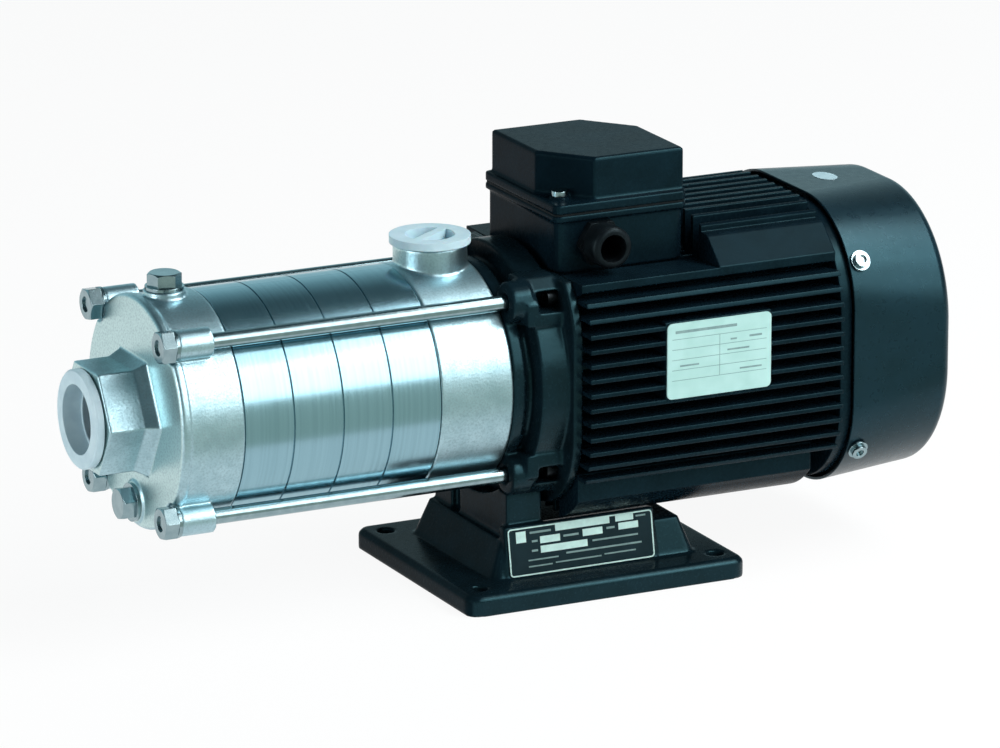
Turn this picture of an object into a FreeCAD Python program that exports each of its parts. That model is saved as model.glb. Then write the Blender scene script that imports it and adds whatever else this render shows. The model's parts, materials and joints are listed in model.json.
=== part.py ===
import FreeCAD, Part
import math
import os

# A close-coupled multistage centrifugal pump with its three-phase motor.
# Millimetres. X runs along the shaft from the suction port to the fan, Y to the back, Z up.
# The origin lies under the middle of the base plate.

# Shaft line, base plate and pedestal
shaft_height = 123.0
base_length = 176.0
base_width = 153.0
base_thickness = 12.0
base_corner = 8.0
base_bevel = 2.5
base_hole_radius = 5.0
base_hole_inset_x = 13.0
base_hole_inset_y = 15.5
foot_inset_x = 23.2
foot_inset_y = 22.0
foot_lead = 12.0
foot_corner = 6.0
foot_end_slope = 8.5
foot_side_slope = 7.0
foot_wall = 4.0
foot_roof = 5.0
panel_rise = 8.5
panel_gap = 0.4
panel_thickness = 8.0
panel_slope = 10.0
column_lead = 9.5
column_length = 22.0
column_inset = 1.0
column_rod_gap = 1.0
column_channel_y = 19.0
column_channel_width = 10.0
column_channel_depth = 4.0
pedestal_bolt_radius = 4.0
pedestal_bolt_set_back = 1.0
pedestal_bolt_head = 8.0
pedestal_bolt_head_radius = 6.4
pedestal_bolt_grip = 12.0
pedestal_bolt_clearance = 0.5

# Stations along the shaft
pump_overhang = 54.8
discharge_casing_length = 45.0
stage_count = 4
stage_pitch = 30.0
suction_casing_length = 38.0
suction_boss_length = 29.0
bracket_length = 37.8
motor_frame_length = 161.0
shield_plate = 7.0
cover_length = 64.5

# Wet end
casing_radius = 64.7
casing_wall = 4.2
groove_chamfer = 0.6
joint_groove = 0.5
joint_groove_depth = 1.2
rim_step = 0.8
suction_rim_length = 5.0
suction_wall = 8.0
chamber_wall = 10.7
joint_lip = 3.0
joint_depth = 5.0
joint_clearance = 0.1
oring_section = 1.9
diaphragm_thickness = 2.5
neck_ring_length = 3.5
neck_ring_wall = 4.0
discharge_wall = 7.7
seal_plate_thickness = 10.2
seal_plate_recess = 12.0
seal_plate_ledge = 3.0

# Ports and their caps
suction_hex = 58.0
suction_flare_step = 8.0
suction_flare_length = 8.0
suction_thread_radius = 22.6
suction_thread_length = 18.0
suction_lead_step = 1.6
suction_lead_length = 8.0
suction_cap_inset = 0.9
suction_cap_flange = 5.0
suction_cap_stand_off = 0.9
discharge_boss_inset = 1.5
discharge_boss_height = 76.0
discharge_thread_radius = 15.3
discharge_thread_gap = 0.5
discharge_lead_step = 1.7
discharge_lead_length = 4.5
discharge_cap_reach = 2.1
discharge_cap_flange = 4.4
thread_depth = 2.5
cap_wall = 2.6
cap_floor = 2.0
cap_gap = 0.3
cap_end_gap = 0.7
cap_bar_turn = 35.0

# Fill and drain plugs
plug_hex = 17.0
plug_head = 7.5
plug_head_turn = 15.0
plug_shank_radius = 6.3
plug_shank_length = 14.0
plug_clearance = 0.3
plug_washer_radius = 11.0
plug_washer_thickness = 2.0
plug_seat_gap = 0.1
plug_boss_rim = 1.0
fill_boss_height = 68.5
drain_boss_length = 1.5
drain_plug_inset = 13.6

# Tie rods
tie_rod_radius = 4.5
tie_rod_gap = 1.8
tie_lug_radius = 8.5
tie_lug_start = 2.6
tie_lug_length = 20.5
tie_hole_clearance = 0.4
tie_nut_hex = 17.0
tie_nut_height = 8.0
tie_nut_turn = 20.0
nut_face_share = 0.96
tie_washer_radius = 9.0
tie_washer_thickness = 2.0
tie_rod_set_in = 1.2
spot_face_margin = 1.3

# Impellers and guide vanes
impeller_radius = 50.0
impeller_passage = 6.5
shroud_thickness = 1.5
shroud_gap = 1.0
hub_wall = 4.0
eye_radius = 19.5
neck_wall = 1.5
running_gap = 0.3
impeller_blades = 6
guide_disc_gap = 6.5
guide_disc_thickness = 2.0
guide_gap = 2.0
guide_vane_count = 8
blade_sweep = 55.0
blade_angle_thickness = 3.2
impeller_nut_hex = 19.0
impeller_nut_height = 9.0

# Shaft
pump_shaft_radius = 8.0
stub_step = 2.0
seal_shaft_step = 1.0
front_journal_radius = 12.5
rotor_shaft_radius = 15.0
rear_journal_radius = 10.0
fan_shaft_radius = 9.0
snug = 0.02

# Mechanical seal
seal_seat_wall = 4.3
seal_seat_length = 6.0
seal_seat_clearance = 1.2
seal_head_wall = 5.0
seal_head_length = 8.0
seal_face_gap = 0.1
seal_bellows_wall = 1.4
seal_bellows_fold = 1.6
seal_bellows_folds = 5
seal_bellows_gap = 0.05

# Bearings
front_bearing_outer_radius = 26.0
front_bearing_width = 15.0
rear_bearing_outer_radius = 23.5
rear_bearing_width = 14.0
bearing_ball_count = 9
ball_share = 0.28
land_share = 0.55
race_clearance = 0.08
cage_edge = 0.8
wave_spring_thickness = 1.6
wave_spring_width = 4.0

# Motor bracket
bracket_plate_length = 8.0
bracket_neck_step = 3.7
drum_start = 13.8
drum_step = 7.3
bracket_flange_length = 6.0
bracket_flange_step = 10.0
lantern_radius = 46.0
lantern_mouth_radius = 34.0
bearing_wall = 4.0
bearing_set_back = 1.0
bracket_hub_clearance = 1.5
spigot_length = 5.0
spigot_wall = 8.0
lug_reach = 13.0
lug_facet = 13.0
lug_set_back = 1.0
lug_round_length = 8.0
lug_round_radius = 11.6
notch_length = 15.0
notch_clearance = 0.4
screw_head_radius = 5.0
screw_head_height = 6.0
screw_radius = 3.0
screw_length = 24.0
screw_clearance = 0.3
socket_depth = 4.0

# Motor frame
frame_half = 85.0
frame_flat = 26.0
stator_radius = 60.0
barrel_wall = 4.0
fin_thickness = 2.4
side_fin_pitch = 8.54
side_fin_count = 13
side_fin_drop = 10.5
top_fin_pitch = 9.8
top_fins_each_side = 5
bottom_fins_each_side = 4
bottom_fin_drop = 6.0
screw_boss_radius = 7.8
shoulder_top_drop = 8.6
shoulder_side_drop = 11.8
shoulder_start = 7.0
shoulder_rise = 0.5
corner_block_root = 5.0
corner_block_side = 16.0
corner_block_stop = 12.0
box_pad_rise = 1.0
box_pad_margin = 8.0
wire_hole_radius = 8.0
wire_hole_back = 26.0
motor_plate_z = 13.8
motor_plate_length = 66.0
motor_plate_height = 44.0
plate_thickness = 0.8
plate_corner = 3.0
plate_border = 0.5

# Stator, windings and rotor
core_start = 29.0
core_end_room = 47.0
air_gap = 0.4
rotor_radius = 33.0
slot_count = 24
slot_width = 6.0
slot_depth = 15.0
slot_wall = 3.0
slot_clearance = 0.3
end_turn_length = 17.0
end_turn_round = 4.0
slot_bar_inset = 4.6
end_ring_length = 6.0
end_ring_inner = 22.0
end_ring_step = 1.5

# Fan and fan cover
shield_step = 3.5
shield_hub_wall = 6.0
shield_hub_end = 5.0
cover_wall = 1.5
cover_clearance = 0.3
cover_edge = 6.0
cover_taper = 1.5
cover_corner_growth = 12.0
cover_screw_back = 7.0
cover_screw_angle = 30.0
cover_screw_radius = 2.5
cover_screw_length = 14.0
cover_screw_head_radius = 4.5
cover_screw_head_height = 2.6
cover_screw_socket_radius = 2.4
cover_screw_socket_depth = 1.6
cover_washer_radius = 6.0
cover_washer_thickness = 1.2
cover_washer_gap = 0.1
post_width = 13.0
post_length = 14.0
post_height = 12.0
post_bridge_step = 0.8
grille_rings = 5
grille_start = 14.0
grille_pitch = 10.5
grille_slot = 5.0
grille_sectors = 8
grille_rib = 5.0
fan_gap = 15.0
fan_hub_wall = 7.0
fan_start = 32.0
fan_length = 26.0
fan_disc = 2.4
fan_blades = 7
fan_blade_thickness = 2.4
circlip_thickness = 1.2
circlip_depth = 0.6
circlip_reach = 2.5
circlip_play = 0.05

# Terminal box
box_overhang = 1.0
box_length = 80.0
box_half_width = 44.0
box_rise = 5.5
box_wall = 3.0
box_corner = 4.0
box_floor_gap = 2.0
box_floor = 3.0
barrel_clearance = 0.2
lip_height = 3.5
lip_reach = 1.8
gasket_thickness = 1.2
gasket_inset = 0.5
lid_flange = 5.3
lid_height = 29.8
lid_wall = 3.0
lid_inset = 1.6
lid_reach = 0.9
lid_side_inset = 2.0
lid_cut_x = 22.8
lid_cut_y = 28.2
lid_bevel = 1.2
lid_screw_share = 0.47
lid_screw_gap = 0.35
lid_screw_radius = 2.0
lid_screw_head_radius = 4.6
lid_screw_head_height = 3.0
lid_screw_length = 14.0
lid_screw_boss = 3.0
lid_pad_step = 0.6
lid_pad_height = 1.8
board_inset = 34.0
board_width = 34.0
board_thickness = 5.0
board_corner = 2.0
board_post = 5.0
board_post_radius = 4.0
board_shift = 8.0
stud_radius = 2.0
stud_height = 11.0
stud_nut_hex = 7.0
stud_nut_height = 3.2
stud_span_x = 14.0
stud_span_y = 17.0
gland_back = 26.0
gland_room = 5.5
gland_top_gap = 1.5
gland_thread_step = 2.0
gland_thread_length = 8.0
gland_inner_thread = 4.0
gland_flange_length = 5.0
gland_nut_step = 0.2
gland_nut_length = 14.0
gland_nut_round = 3.0
gland_wall = 2.0

# Pump nameplate
pump_plate_inset = 10.2
pump_plate_length = 92.0
pump_plate_lift = 0.7
pump_plate_margin = 1.5

# Radii and widths worked out from the sizes above
casing_bore = casing_radius - casing_wall
joint_radius = (casing_radius + casing_bore) / 2
groove_floor = casing_radius - joint_groove_depth
suction_radius = casing_radius + rim_step
suction_rim_radius = suction_radius + rim_step
suction_chamber_radius = casing_radius - chamber_wall
discharge_chamber_radius = casing_radius - discharge_wall
seal_plate_radius = discharge_chamber_radius + seal_plate_ledge
guide_disc_radius = casing_bore - guide_disc_gap
suction_flare = suction_hex + suction_flare_step
suction_lead_radius = suction_thread_radius + suction_lead_step
suction_passage_radius = suction_thread_radius - thread_depth
suction_cap_radius = suction_hex / 2 - suction_cap_inset
discharge_boss_radius = discharge_casing_length / 2 - discharge_boss_inset
discharge_lead_radius = discharge_thread_radius + discharge_lead_step
discharge_thread_floor = seal_plate_radius + discharge_thread_gap
discharge_passage_radius = discharge_thread_radius - thread_depth
discharge_cap_radius = discharge_boss_radius + discharge_cap_reach
plug_hole_radius = plug_shank_radius + plug_clearance
plug_boss_radius = plug_washer_radius + plug_boss_rim
tie_offset = (casing_radius + tie_rod_gap + tie_rod_radius) * math.sqrt(0.5)
tie_hole_radius = tie_rod_radius + tie_hole_clearance
spot_face_radius = tie_washer_radius + spot_face_margin
hub_radius = pump_shaft_radius + hub_wall
neck_radius = eye_radius + neck_wall
neck_ring_radius = neck_radius + neck_ring_wall
shaft_stub_radius = pump_shaft_radius - stub_step
seal_shaft_radius = pump_shaft_radius + seal_shaft_step
seal_seat_bore = seal_shaft_radius + seal_seat_clearance
seal_seat_outer = seal_seat_bore + seal_seat_wall
seal_head_radius = seal_shaft_radius + seal_head_wall
drum_radius = casing_radius + drum_step
bracket_plate_radius = casing_radius - 1
bracket_neck_radius = bracket_plate_radius - bracket_neck_step
lug_far = tie_offset + lug_reach
frame_corner = frame_half - frame_flat
barrel_radius = stator_radius + barrel_wall
box_pad_height = stator_radius + box_pad_rise
side_fin_top = box_pad_height - side_fin_drop
cover_rear_half = frame_half - cover_taper
cover_rear_corner = frame_corner + cover_corner_growth
fan_radius = frame_half - fan_gap
fan_hub_radius = fan_shaft_radius + fan_hub_wall
slot_radius = rotor_radius + air_gap + slot_wall
lid_half_width = box_half_width - lid_side_inset

# Stations worked out from the sizes above
casing_joint_x = -pump_overhang
stack_end_x = casing_joint_x - discharge_casing_length
stack_start_x = stack_end_x - stage_count * stage_pitch
disc_face_x = stack_start_x - suction_casing_length
port_face_x = disc_face_x - suction_boss_length
motor_joint_x = casing_joint_x + bracket_length
frame_end_x = motor_joint_x + motor_frame_length
cover_start_x = frame_end_x + shield_plate
cover_end_x = cover_start_x + cover_length
drum_x = casing_joint_x + drum_start
flange_x = motor_joint_x - bracket_flange_length
impeller_start = joint_depth + diaphragm_thickness + shroud_gap
impeller_back = impeller_start + 2 * shroud_thickness + impeller_passage
hub_start = joint_depth - 1
hub_end_x = stack_end_x + hub_start
nut_face_x = stack_start_x + hub_start
seal_plate_x = casing_joint_x - seal_plate_thickness
seal_head_x = seal_plate_x - seal_face_gap - seal_head_length
front_bearing_x = motor_joint_x - front_bearing_width - bearing_set_back
bearing_wall_x = front_bearing_x - bearing_wall
rear_bearing_x = frame_end_x - bearing_wall + bearing_set_back
wave_spring_x = rear_bearing_x + rear_bearing_width
shield_seat_x = wave_spring_x + wave_spring_thickness
core_x = motor_joint_x + core_start
core_end_x = frame_end_x - core_end_room
fan_x = frame_end_x + fan_start
fan_end_x = fan_x + fan_length
tie_rod_start_x = disc_face_x + tie_lug_start - tie_washer_thickness - tie_nut_height + tie_rod_set_in
discharge_port_x = casing_joint_x - discharge_boss_radius
discharge_port_z = shaft_height + discharge_boss_height
fill_plug_x = disc_face_x + suction_casing_length / 2
fill_face_z = shaft_height + fill_boss_height
drain_face_x = disc_face_x - drain_boss_length
drain_plug_z = shaft_height - suction_radius + drain_plug_inset
base_hole_x = base_length / 2 - base_hole_inset_x
base_hole_y = base_width / 2 - base_hole_inset_y
foot_half_width = base_width / 2 - foot_inset_y
column_half_width = foot_half_width - foot_side_slope - column_inset
column_x = drum_x - column_lead
pedestal_bolt_x = drum_x + pedestal_bolt_radius + pedestal_bolt_set_back
foot_start_x = column_x - foot_lead
foot_end_x = foot_start_x + base_length - 2 * foot_inset_x
panel_inner_y = foot_half_width - panel_thickness - frame_flat
lower_block_reach = frame_flat + math.sqrt(frame_corner ** 2 - panel_inner_y ** 2)
panel_top = shaft_height - lower_block_reach - panel_gap
foot_height = panel_top - panel_rise
pump_plate_x = foot_start_x + pump_plate_inset
pump_plate_height = panel_top - base_thickness - 2 * pump_plate_lift
pad_z = shaft_height + box_pad_height
box_start_x = motor_joint_x - box_overhang
box_end_x = box_start_x + box_length
box_middle_x = (box_start_x + box_end_x) / 2
box_pad_end_x = box_end_x + box_pad_margin
box_top = shaft_height + frame_half + box_rise
floor_z = shaft_height + barrel_radius + box_floor_gap
board_x = box_middle_x + board_shift
board_z = floor_z + box_floor + board_post
board_length = box_length - board_inset
lid_start_x = box_start_x + lid_inset
lid_end_x = box_end_x + lid_reach
lid_base_z = box_top + lip_height + gasket_thickness
lid_flange_top = lid_base_z + lid_flange
lid_screw_seat_z = lid_flange_top + lid_pad_height
lid_top_z = lid_base_z + lid_height
gland_x = box_start_x + gland_back
gland_hex = box_top - pad_z - gland_room
gland_z = box_top - gland_hex / 2 - gland_top_gap
gland_thread_radius = gland_hex / 2 - gland_thread_step
gland_nut_radius = gland_hex / 2 + gland_nut_step
gland_opening_radius = gland_thread_radius - gland_wall
motor_plate_x = motor_joint_x + motor_frame_length / 2
plate_face_y = -frame_half

x_axis = FreeCAD.Vector(1, 0, 0)
y_axis = FreeCAD.Vector(0, 1, 0)
z_axis = FreeCAD.Vector(0, 0, 1)


def vec(x, y, z):
    return FreeCAD.Vector(x, y, z)


def rod_x(x0, x1, radius, y=0.0, z=shaft_height):
    return Part.makeCylinder(radius, x1 - x0, vec(x0, y, z), x_axis)


def rod_z(x, y, z0, z1, radius):
    return Part.makeCylinder(radius, z1 - z0, vec(x, y, z0), z_axis)


def ring_x(x0, x1, outer, inner):
    return rod_x(x0, x1, outer).cut(rod_x(x0 - 1, x1 + 1, inner))


def block(x0, x1, y0, y1, z0, z1):
    return Part.makeBox(x1 - x0, y1 - y0, z1 - z0, vec(x0, y0, z0))


def face_of(points):
    return Part.Face(Part.makePolygon(points + points[:1]))


def turned(outline):
    """Turns (x, radius) corners about the shaft line."""
    corners = [vec(x, 0, shaft_height + radius) for x, radius in outline]
    return face_of(corners).revolve(vec(0, 0, shaft_height), x_axis, 360)


def prism_x(x0, x1, outline):
    """Runs a (y, height above the shaft) outline from x0 to x1."""
    corners = [vec(x0, y, shaft_height + z) for y, z in outline]
    return face_of(corners).extrude(vec(x1 - x0, 0, 0))


def hexagon(across_flats, start, direction, length, turn=0.0):
    radius = across_flats / 2 / math.cos(math.pi / 6)
    angles = [math.radians(turn + 60 * number) for number in range(6)]
    corners = [vec(radius * math.cos(a), radius * math.sin(a), 0) for a in angles]
    solid = face_of(corners).extrude(vec(0, 0, length))
    solid.Placement = FreeCAD.Placement(start, FreeCAD.Rotation(z_axis, direction))
    return solid


def nut_blank(across_flats, start, direction, length, turn):
    """A hexagon with the corners of its outer end, at start, turned off at 30 degrees."""
    radius = across_flats / 2 * nut_face_share
    cone = Part.makeCone(radius, radius + length / math.tan(math.pi / 6), length, start, direction)
    return hexagon(across_flats, start, direction, length, turn).common(cone)


def rounded_wire(low, high, radius, place):
    """A rectangle with round corners from low to high; place gives the point of a pair."""
    corners = [
        (high[0] - radius, high[1] - radius, 0),
        (low[0] + radius, high[1] - radius, 90),
        (low[0] + radius, low[1] + radius, 180),
        (high[0] - radius, low[1] + radius, 270),
    ]
    arcs = []
    for a, b, start in corners:
        turns = [math.radians(start + part) for part in (0, 45, 90)]
        arcs.append([place(a + radius * math.cos(t), b + radius * math.sin(t)) for t in turns])
    edges = []
    for number, arc in enumerate(arcs):
        edges.append(Part.Arc(*arc).toShape())
        edges.append(Part.LineSegment(arc[2], arcs[(number + 1) % 4][0]).toShape())
    return Part.Wire(edges)


def across(x):
    """Places a pair on the plane across the shaft at x."""
    return lambda y, z: vec(x, y, shaft_height + z)


def level(z):
    """Places a pair on the level plane at z."""
    return lambda x, y: vec(x, y, z)


def square_bar(x0, x1, half, corner):
    wire = rounded_wire((-half, -half), (half, half), corner, across(x0))
    return Part.Face(wire).extrude(vec(x1 - x0, 0, 0))


def slab(low, high, corner, z0, z1):
    return Part.Face(rounded_wire(low, high, corner, level(z0))).extrude(vec(0, 0, z1 - z0))


def fused(solids):
    return solids[0].multiFuse(solids[1:]).removeSplitter()


def corner_places():
    """The four tie rod places as (y, height above the shaft)."""
    return [(y * tie_offset, z * tie_offset) for y in (-1, 1) for z in (1, -1)]


def swept_blade(x0, x1, inner, outer, sweep, start_angle, angle_thickness):
    """A curved blade across the shaft, between two radii."""
    def at(radius, angle):
        turn = math.radians(start_angle + angle)
        return vec(x0, radius * math.sin(turn), shaft_height + radius * math.cos(turn))
    middle = (inner + outer) / 2
    first = Part.Arc(at(inner, 0), at(middle, sweep * 0.62), at(outer, sweep)).toShape()
    tip = Part.LineSegment(at(outer, sweep), at(outer, sweep + angle_thickness)).toShape()
    second = Part.Arc(at(outer, sweep + angle_thickness), at(middle, sweep * 0.62 + angle_thickness),
                      at(inner, angle_thickness)).toShape()
    root = Part.LineSegment(at(inner, angle_thickness), at(inner, 0)).toShape()
    return Part.Face(Part.Wire([first, tip, second, root])).extrude(vec(x1 - x0, 0, 0))


# Suction end


def suction_casing():
    body = turned([
        (disc_face_x, suction_passage_radius), (disc_face_x, suction_rim_radius - 1.5),
        (disc_face_x + 1.5, suction_rim_radius), (disc_face_x + suction_rim_length, suction_rim_radius),
        (disc_face_x + suction_rim_length + 1, suction_radius),
        (stack_start_x - groove_chamfer, suction_radius),
        (stack_start_x, suction_radius - groove_chamfer), (stack_start_x, joint_radius),
        (stack_start_x + joint_lip, joint_radius), (stack_start_x + joint_lip, casing_bore),
        (stack_start_x, casing_bore), (stack_start_x, suction_chamber_radius),
        (disc_face_x + suction_wall, suction_chamber_radius),
        (disc_face_x + suction_wall, suction_passage_radius),
    ])
    flare_x = disc_face_x - suction_flare_length
    boss = hexagon(suction_hex, vec(port_face_x, 0, shaft_height), x_axis,
                   suction_boss_length + suction_wall / 2, 90)
    solids = [body, boss, suction_flare_cone(flare_x)]
    for y, z in corner_places():
        start = disc_face_x + tie_lug_start
        solids.append(rod_x(start, start + tie_lug_length, tie_lug_radius, y, shaft_height + z))
    solids.append(rod_z(fill_plug_x, 0, shaft_height + suction_chamber_radius + 3, fill_face_z,
                        plug_boss_radius))
    solids.append(rod_x(drain_face_x, disc_face_x + 2, plug_boss_radius, 0, drain_plug_z))
    casing = fused(solids)
    for y, z in corner_places():
        height = shaft_height + z
        casing = casing.cut(rod_x(disc_face_x, stack_start_x, tie_hole_radius, y, height))
        seat_x = disc_face_x + tie_lug_start
        casing = casing.cut(rod_x(disc_face_x - 1, seat_x, spot_face_radius, y, height))
    casing = casing.cut(rod_z(fill_plug_x, 0, fill_face_z - plug_shank_length - 1, fill_face_z + 1,
                              plug_hole_radius))
    casing = casing.cut(rod_x(drain_face_x - 1, drain_face_x + plug_shank_length + 1, plug_hole_radius, 0,
                              drain_plug_z))
    lead_end = port_face_x + suction_lead_length
    casing = casing.cut(rod_x(port_face_x - 1, lead_end, suction_lead_radius))
    casing = casing.cut(rod_x(lead_end - 1, lead_end + suction_thread_length, suction_thread_radius))
    return casing.cut(rod_x(lead_end, disc_face_x + suction_wall + 1, suction_passage_radius))


def suction_flare_cone(flare_x):
    """The six-sided foot that spreads from the suction boss to the casing face."""
    wires = []
    for x, flats in ((flare_x, suction_hex), (disc_face_x + 1, suction_flare)):
        radius = flats / 2 / math.cos(math.pi / 6)
        angles = [math.radians(60 * number) for number in range(6)]
        corners = [vec(x, radius * math.cos(a), shaft_height + radius * math.sin(a)) for a in angles]
        wires.append(Part.makePolygon(corners + corners[:1]))
    return Part.makeLoft(wires, True, True)


def suction_port_cap():
    flange_start = port_face_x - suction_cap_stand_off - suction_cap_flange
    skirt_end = port_face_x + suction_lead_length - cap_end_gap
    skirt = suction_lead_radius - cap_gap
    recess = suction_passage_radius - cap_gap
    back = port_face_x - suction_cap_stand_off
    return turned([
        (flange_start, recess), (flange_start, suction_cap_radius - 1),
        (flange_start + 1, suction_cap_radius), (back - cap_gap, suction_cap_radius),
        (back, suction_cap_radius - cap_gap), (back, skirt), (skirt_end, skirt), (skirt_end, 0),
        (skirt_end - cap_floor, 0), (skirt_end - cap_floor, recess),
    ])


def plug(start, direction):
    """A hexagon-head plug whose head sits on its washer; direction points into the casing."""
    head_start = start - direction * (plug_seat_gap + plug_washer_thickness + plug_head)
    head = nut_blank(plug_hex, head_start, direction, plug_head, plug_head_turn)
    shank = Part.makeCylinder(plug_shank_radius, plug_shank_length + plug_head, head_start, direction)
    return head.fuse(shank).removeSplitter()


def plug_washer(start, direction):
    face = start - direction * (plug_seat_gap + plug_washer_thickness)
    washer = Part.makeCylinder(plug_washer_radius, plug_washer_thickness, face, direction)
    hole = Part.makeCylinder(plug_hole_radius, plug_washer_thickness + 2, face - direction, direction)
    return washer.cut(hole)


# Stages


def stage_chamber(number):
    x = stack_start_x + number * stage_pitch
    end = x + stage_pitch
    wall_start = x + joint_depth
    wall_end = wall_start + diaphragm_thickness
    socket = joint_radius + joint_clearance
    ring_seat = neck_ring_radius + snug
    return turned([
        (x, socket), (x, groove_floor), (x + joint_groove, groove_floor), (x + joint_groove, casing_radius),
        (end - joint_groove, casing_radius), (end - joint_groove, groove_floor), (end, groove_floor),
        (end, joint_radius),
        (end + joint_lip, joint_radius), (end + joint_lip, casing_bore), (wall_end, casing_bore),
        (wall_end, ring_seat), (wall_start, ring_seat), (wall_start, socket),
    ])


def neck_rings():
    rings = []
    for number in range(stage_count):
        end = stack_start_x + number * stage_pitch + joint_depth + diaphragm_thickness + shroud_gap / 2
        rings.append(ring_x(end - neck_ring_length, end, neck_ring_radius, neck_radius + running_gap))
    return rings


def impeller(number):
    x = stack_start_x + number * stage_pitch
    front = x + impeller_start
    back = x + impeller_back
    neck = ring_x(x + joint_depth, front + shroud_thickness, neck_radius, eye_radius)
    front_shroud = ring_x(front, front + shroud_thickness, impeller_radius, eye_radius)
    back_shroud = ring_x(back - shroud_thickness, back, impeller_radius, hub_radius - 1)
    hub = ring_x(x + hub_start, x + hub_start + stage_pitch, hub_radius, pump_shaft_radius + snug)
    solids = [hub, neck, front_shroud, back_shroud]
    for blade in range(impeller_blades):
        angle = blade * 360.0 / impeller_blades
        solids.append(swept_blade(front + shroud_thickness, back - shroud_thickness,
                                  (hub_radius + eye_radius) / 2, impeller_radius, blade_sweep, angle,
                                  blade_angle_thickness))
    return fused(solids)


def guide_vanes():
    """One disc with return vanes between each pair of stages."""
    pieces = []
    vane_outer = casing_bore - joint_clearance
    for number in range(stage_count - 1):
        x = stack_start_x + number * stage_pitch
        disc_start = x + impeller_back + guide_gap
        disc_end = disc_start + guide_disc_thickness
        disc = ring_x(disc_start, disc_end, guide_disc_radius, hub_radius + running_gap)
        solids = [disc]
        for vane in range(guide_vane_count):
            angle = vane * 360.0 / guide_vane_count
            solids.append(swept_blade(disc_end, x + stage_pitch + joint_depth, neck_ring_radius + 2,
                                      vane_outer, -blade_sweep, angle, blade_angle_thickness))
        pieces.append(fused(solids))
    return pieces


def chamber_orings():
    rings = []
    radius = (casing_bore + joint_radius + joint_clearance) / 2
    plate_gap = seal_plate_recess - seal_plate_thickness
    for number in range(stage_count + 1):
        x = stack_start_x + number * stage_pitch + (joint_lip + joint_depth) / 2
        rings.append(Part.makeTorus(radius, oring_section / 2, vec(x, 0, shaft_height), x_axis))
    place = vec(seal_plate_x - plate_gap / 2, 0, shaft_height)
    rings.append(Part.makeTorus(seal_plate_radius - oring_section, plate_gap / 2 - snug, place, x_axis))
    return rings


# Discharge end


def discharge_casing():
    recess_x = casing_joint_x - seal_plate_recess
    socket = joint_radius + joint_clearance
    body = turned([
        (stack_end_x, socket), (stack_end_x, casing_radius - groove_chamfer),
        (stack_end_x + groove_chamfer, casing_radius), (casing_joint_x - 1, casing_radius),
        (casing_joint_x, casing_radius - 1), (casing_joint_x, seal_plate_radius),
        (recess_x, seal_plate_radius), (recess_x, discharge_chamber_radius),
        (stack_end_x + joint_depth, discharge_chamber_radius), (stack_end_x + joint_depth, socket),
    ])
    inside_z = shaft_height + discharge_chamber_radius / 2
    boss = rod_z(discharge_port_x, 0, inside_z, discharge_port_z, discharge_boss_radius)
    casing = body.fuse(boss)
    casing = casing.cut(rod_x(stack_end_x + joint_depth - 1, recess_x + 1, discharge_chamber_radius))
    casing = casing.cut(rod_x(recess_x, casing_joint_x + 1, seal_plate_radius))
    casing = casing.cut(rod_x(stack_end_x - 1, stack_end_x + joint_depth, socket))
    lead_z = discharge_port_z - discharge_lead_length
    casing = casing.cut(rod_z(discharge_port_x, 0, lead_z, discharge_port_z + 1, discharge_lead_radius))
    casing = casing.cut(rod_z(discharge_port_x, 0, shaft_height + discharge_thread_floor, lead_z + 1,
                              discharge_thread_radius))
    casing = casing.cut(rod_z(discharge_port_x, 0, inside_z - 1, lead_z, discharge_passage_radius))
    return casing.removeSplitter()


def discharge_port_cap():
    flange_start = discharge_port_z + cap_gap
    top = flange_start + discharge_cap_flange
    skirt = discharge_lead_radius - cap_gap
    skirt_end = discharge_port_z - discharge_lead_length + cap_end_gap
    cap = rod_z(discharge_port_x, 0, flange_start, top, discharge_cap_radius)
    cap = cap.fuse(rod_z(discharge_port_x, 0, skirt_end, flange_start + 1, skirt)).removeSplitter()
    pocket = rod_z(discharge_port_x, 0, skirt_end + cap_floor, top + 1, skirt - cap_wall)
    bar = block(discharge_port_x - skirt, discharge_port_x + skirt, -cap_wall, cap_wall, skirt_end, top)
    return cap.cut(pocket.cut(bar.rotated(vec(discharge_port_x, 0, 0), z_axis, cap_bar_turn)))


def seal_plate():
    """The plate that closes the discharge casing and holds the seal seat."""
    plate = ring_x(seal_plate_x, casing_joint_x, seal_plate_radius - snug, seal_seat_bore)
    return plate.cut(rod_x(seal_plate_x - 1, seal_plate_x + seal_seat_length, seal_seat_outer + snug))


def seal_seat():
    return ring_x(seal_plate_x, seal_plate_x + seal_seat_length, seal_seat_outer, seal_seat_bore)


def seal_head():
    return ring_x(seal_head_x, seal_head_x + seal_head_length, seal_head_radius, seal_shaft_radius + snug)


def seal_bellows():
    """The folded rubber sleeve that presses the seal head on its seat."""
    start = hub_end_x + seal_bellows_gap
    pitch = (seal_head_x - hub_end_x - 2 * seal_bellows_gap) / seal_bellows_folds
    inner = seal_shaft_radius + snug
    outline = [(start, inner)]
    for fold in range(seal_bellows_folds):
        x = start + fold * pitch
        low = inner + seal_bellows_wall
        outline += [(x, low), (x + pitch / 2, low + seal_bellows_fold)]
    end = start + seal_bellows_folds * pitch
    return turned(outline + [(end, inner + seal_bellows_wall), (end, inner)])


# Rotor line


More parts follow.
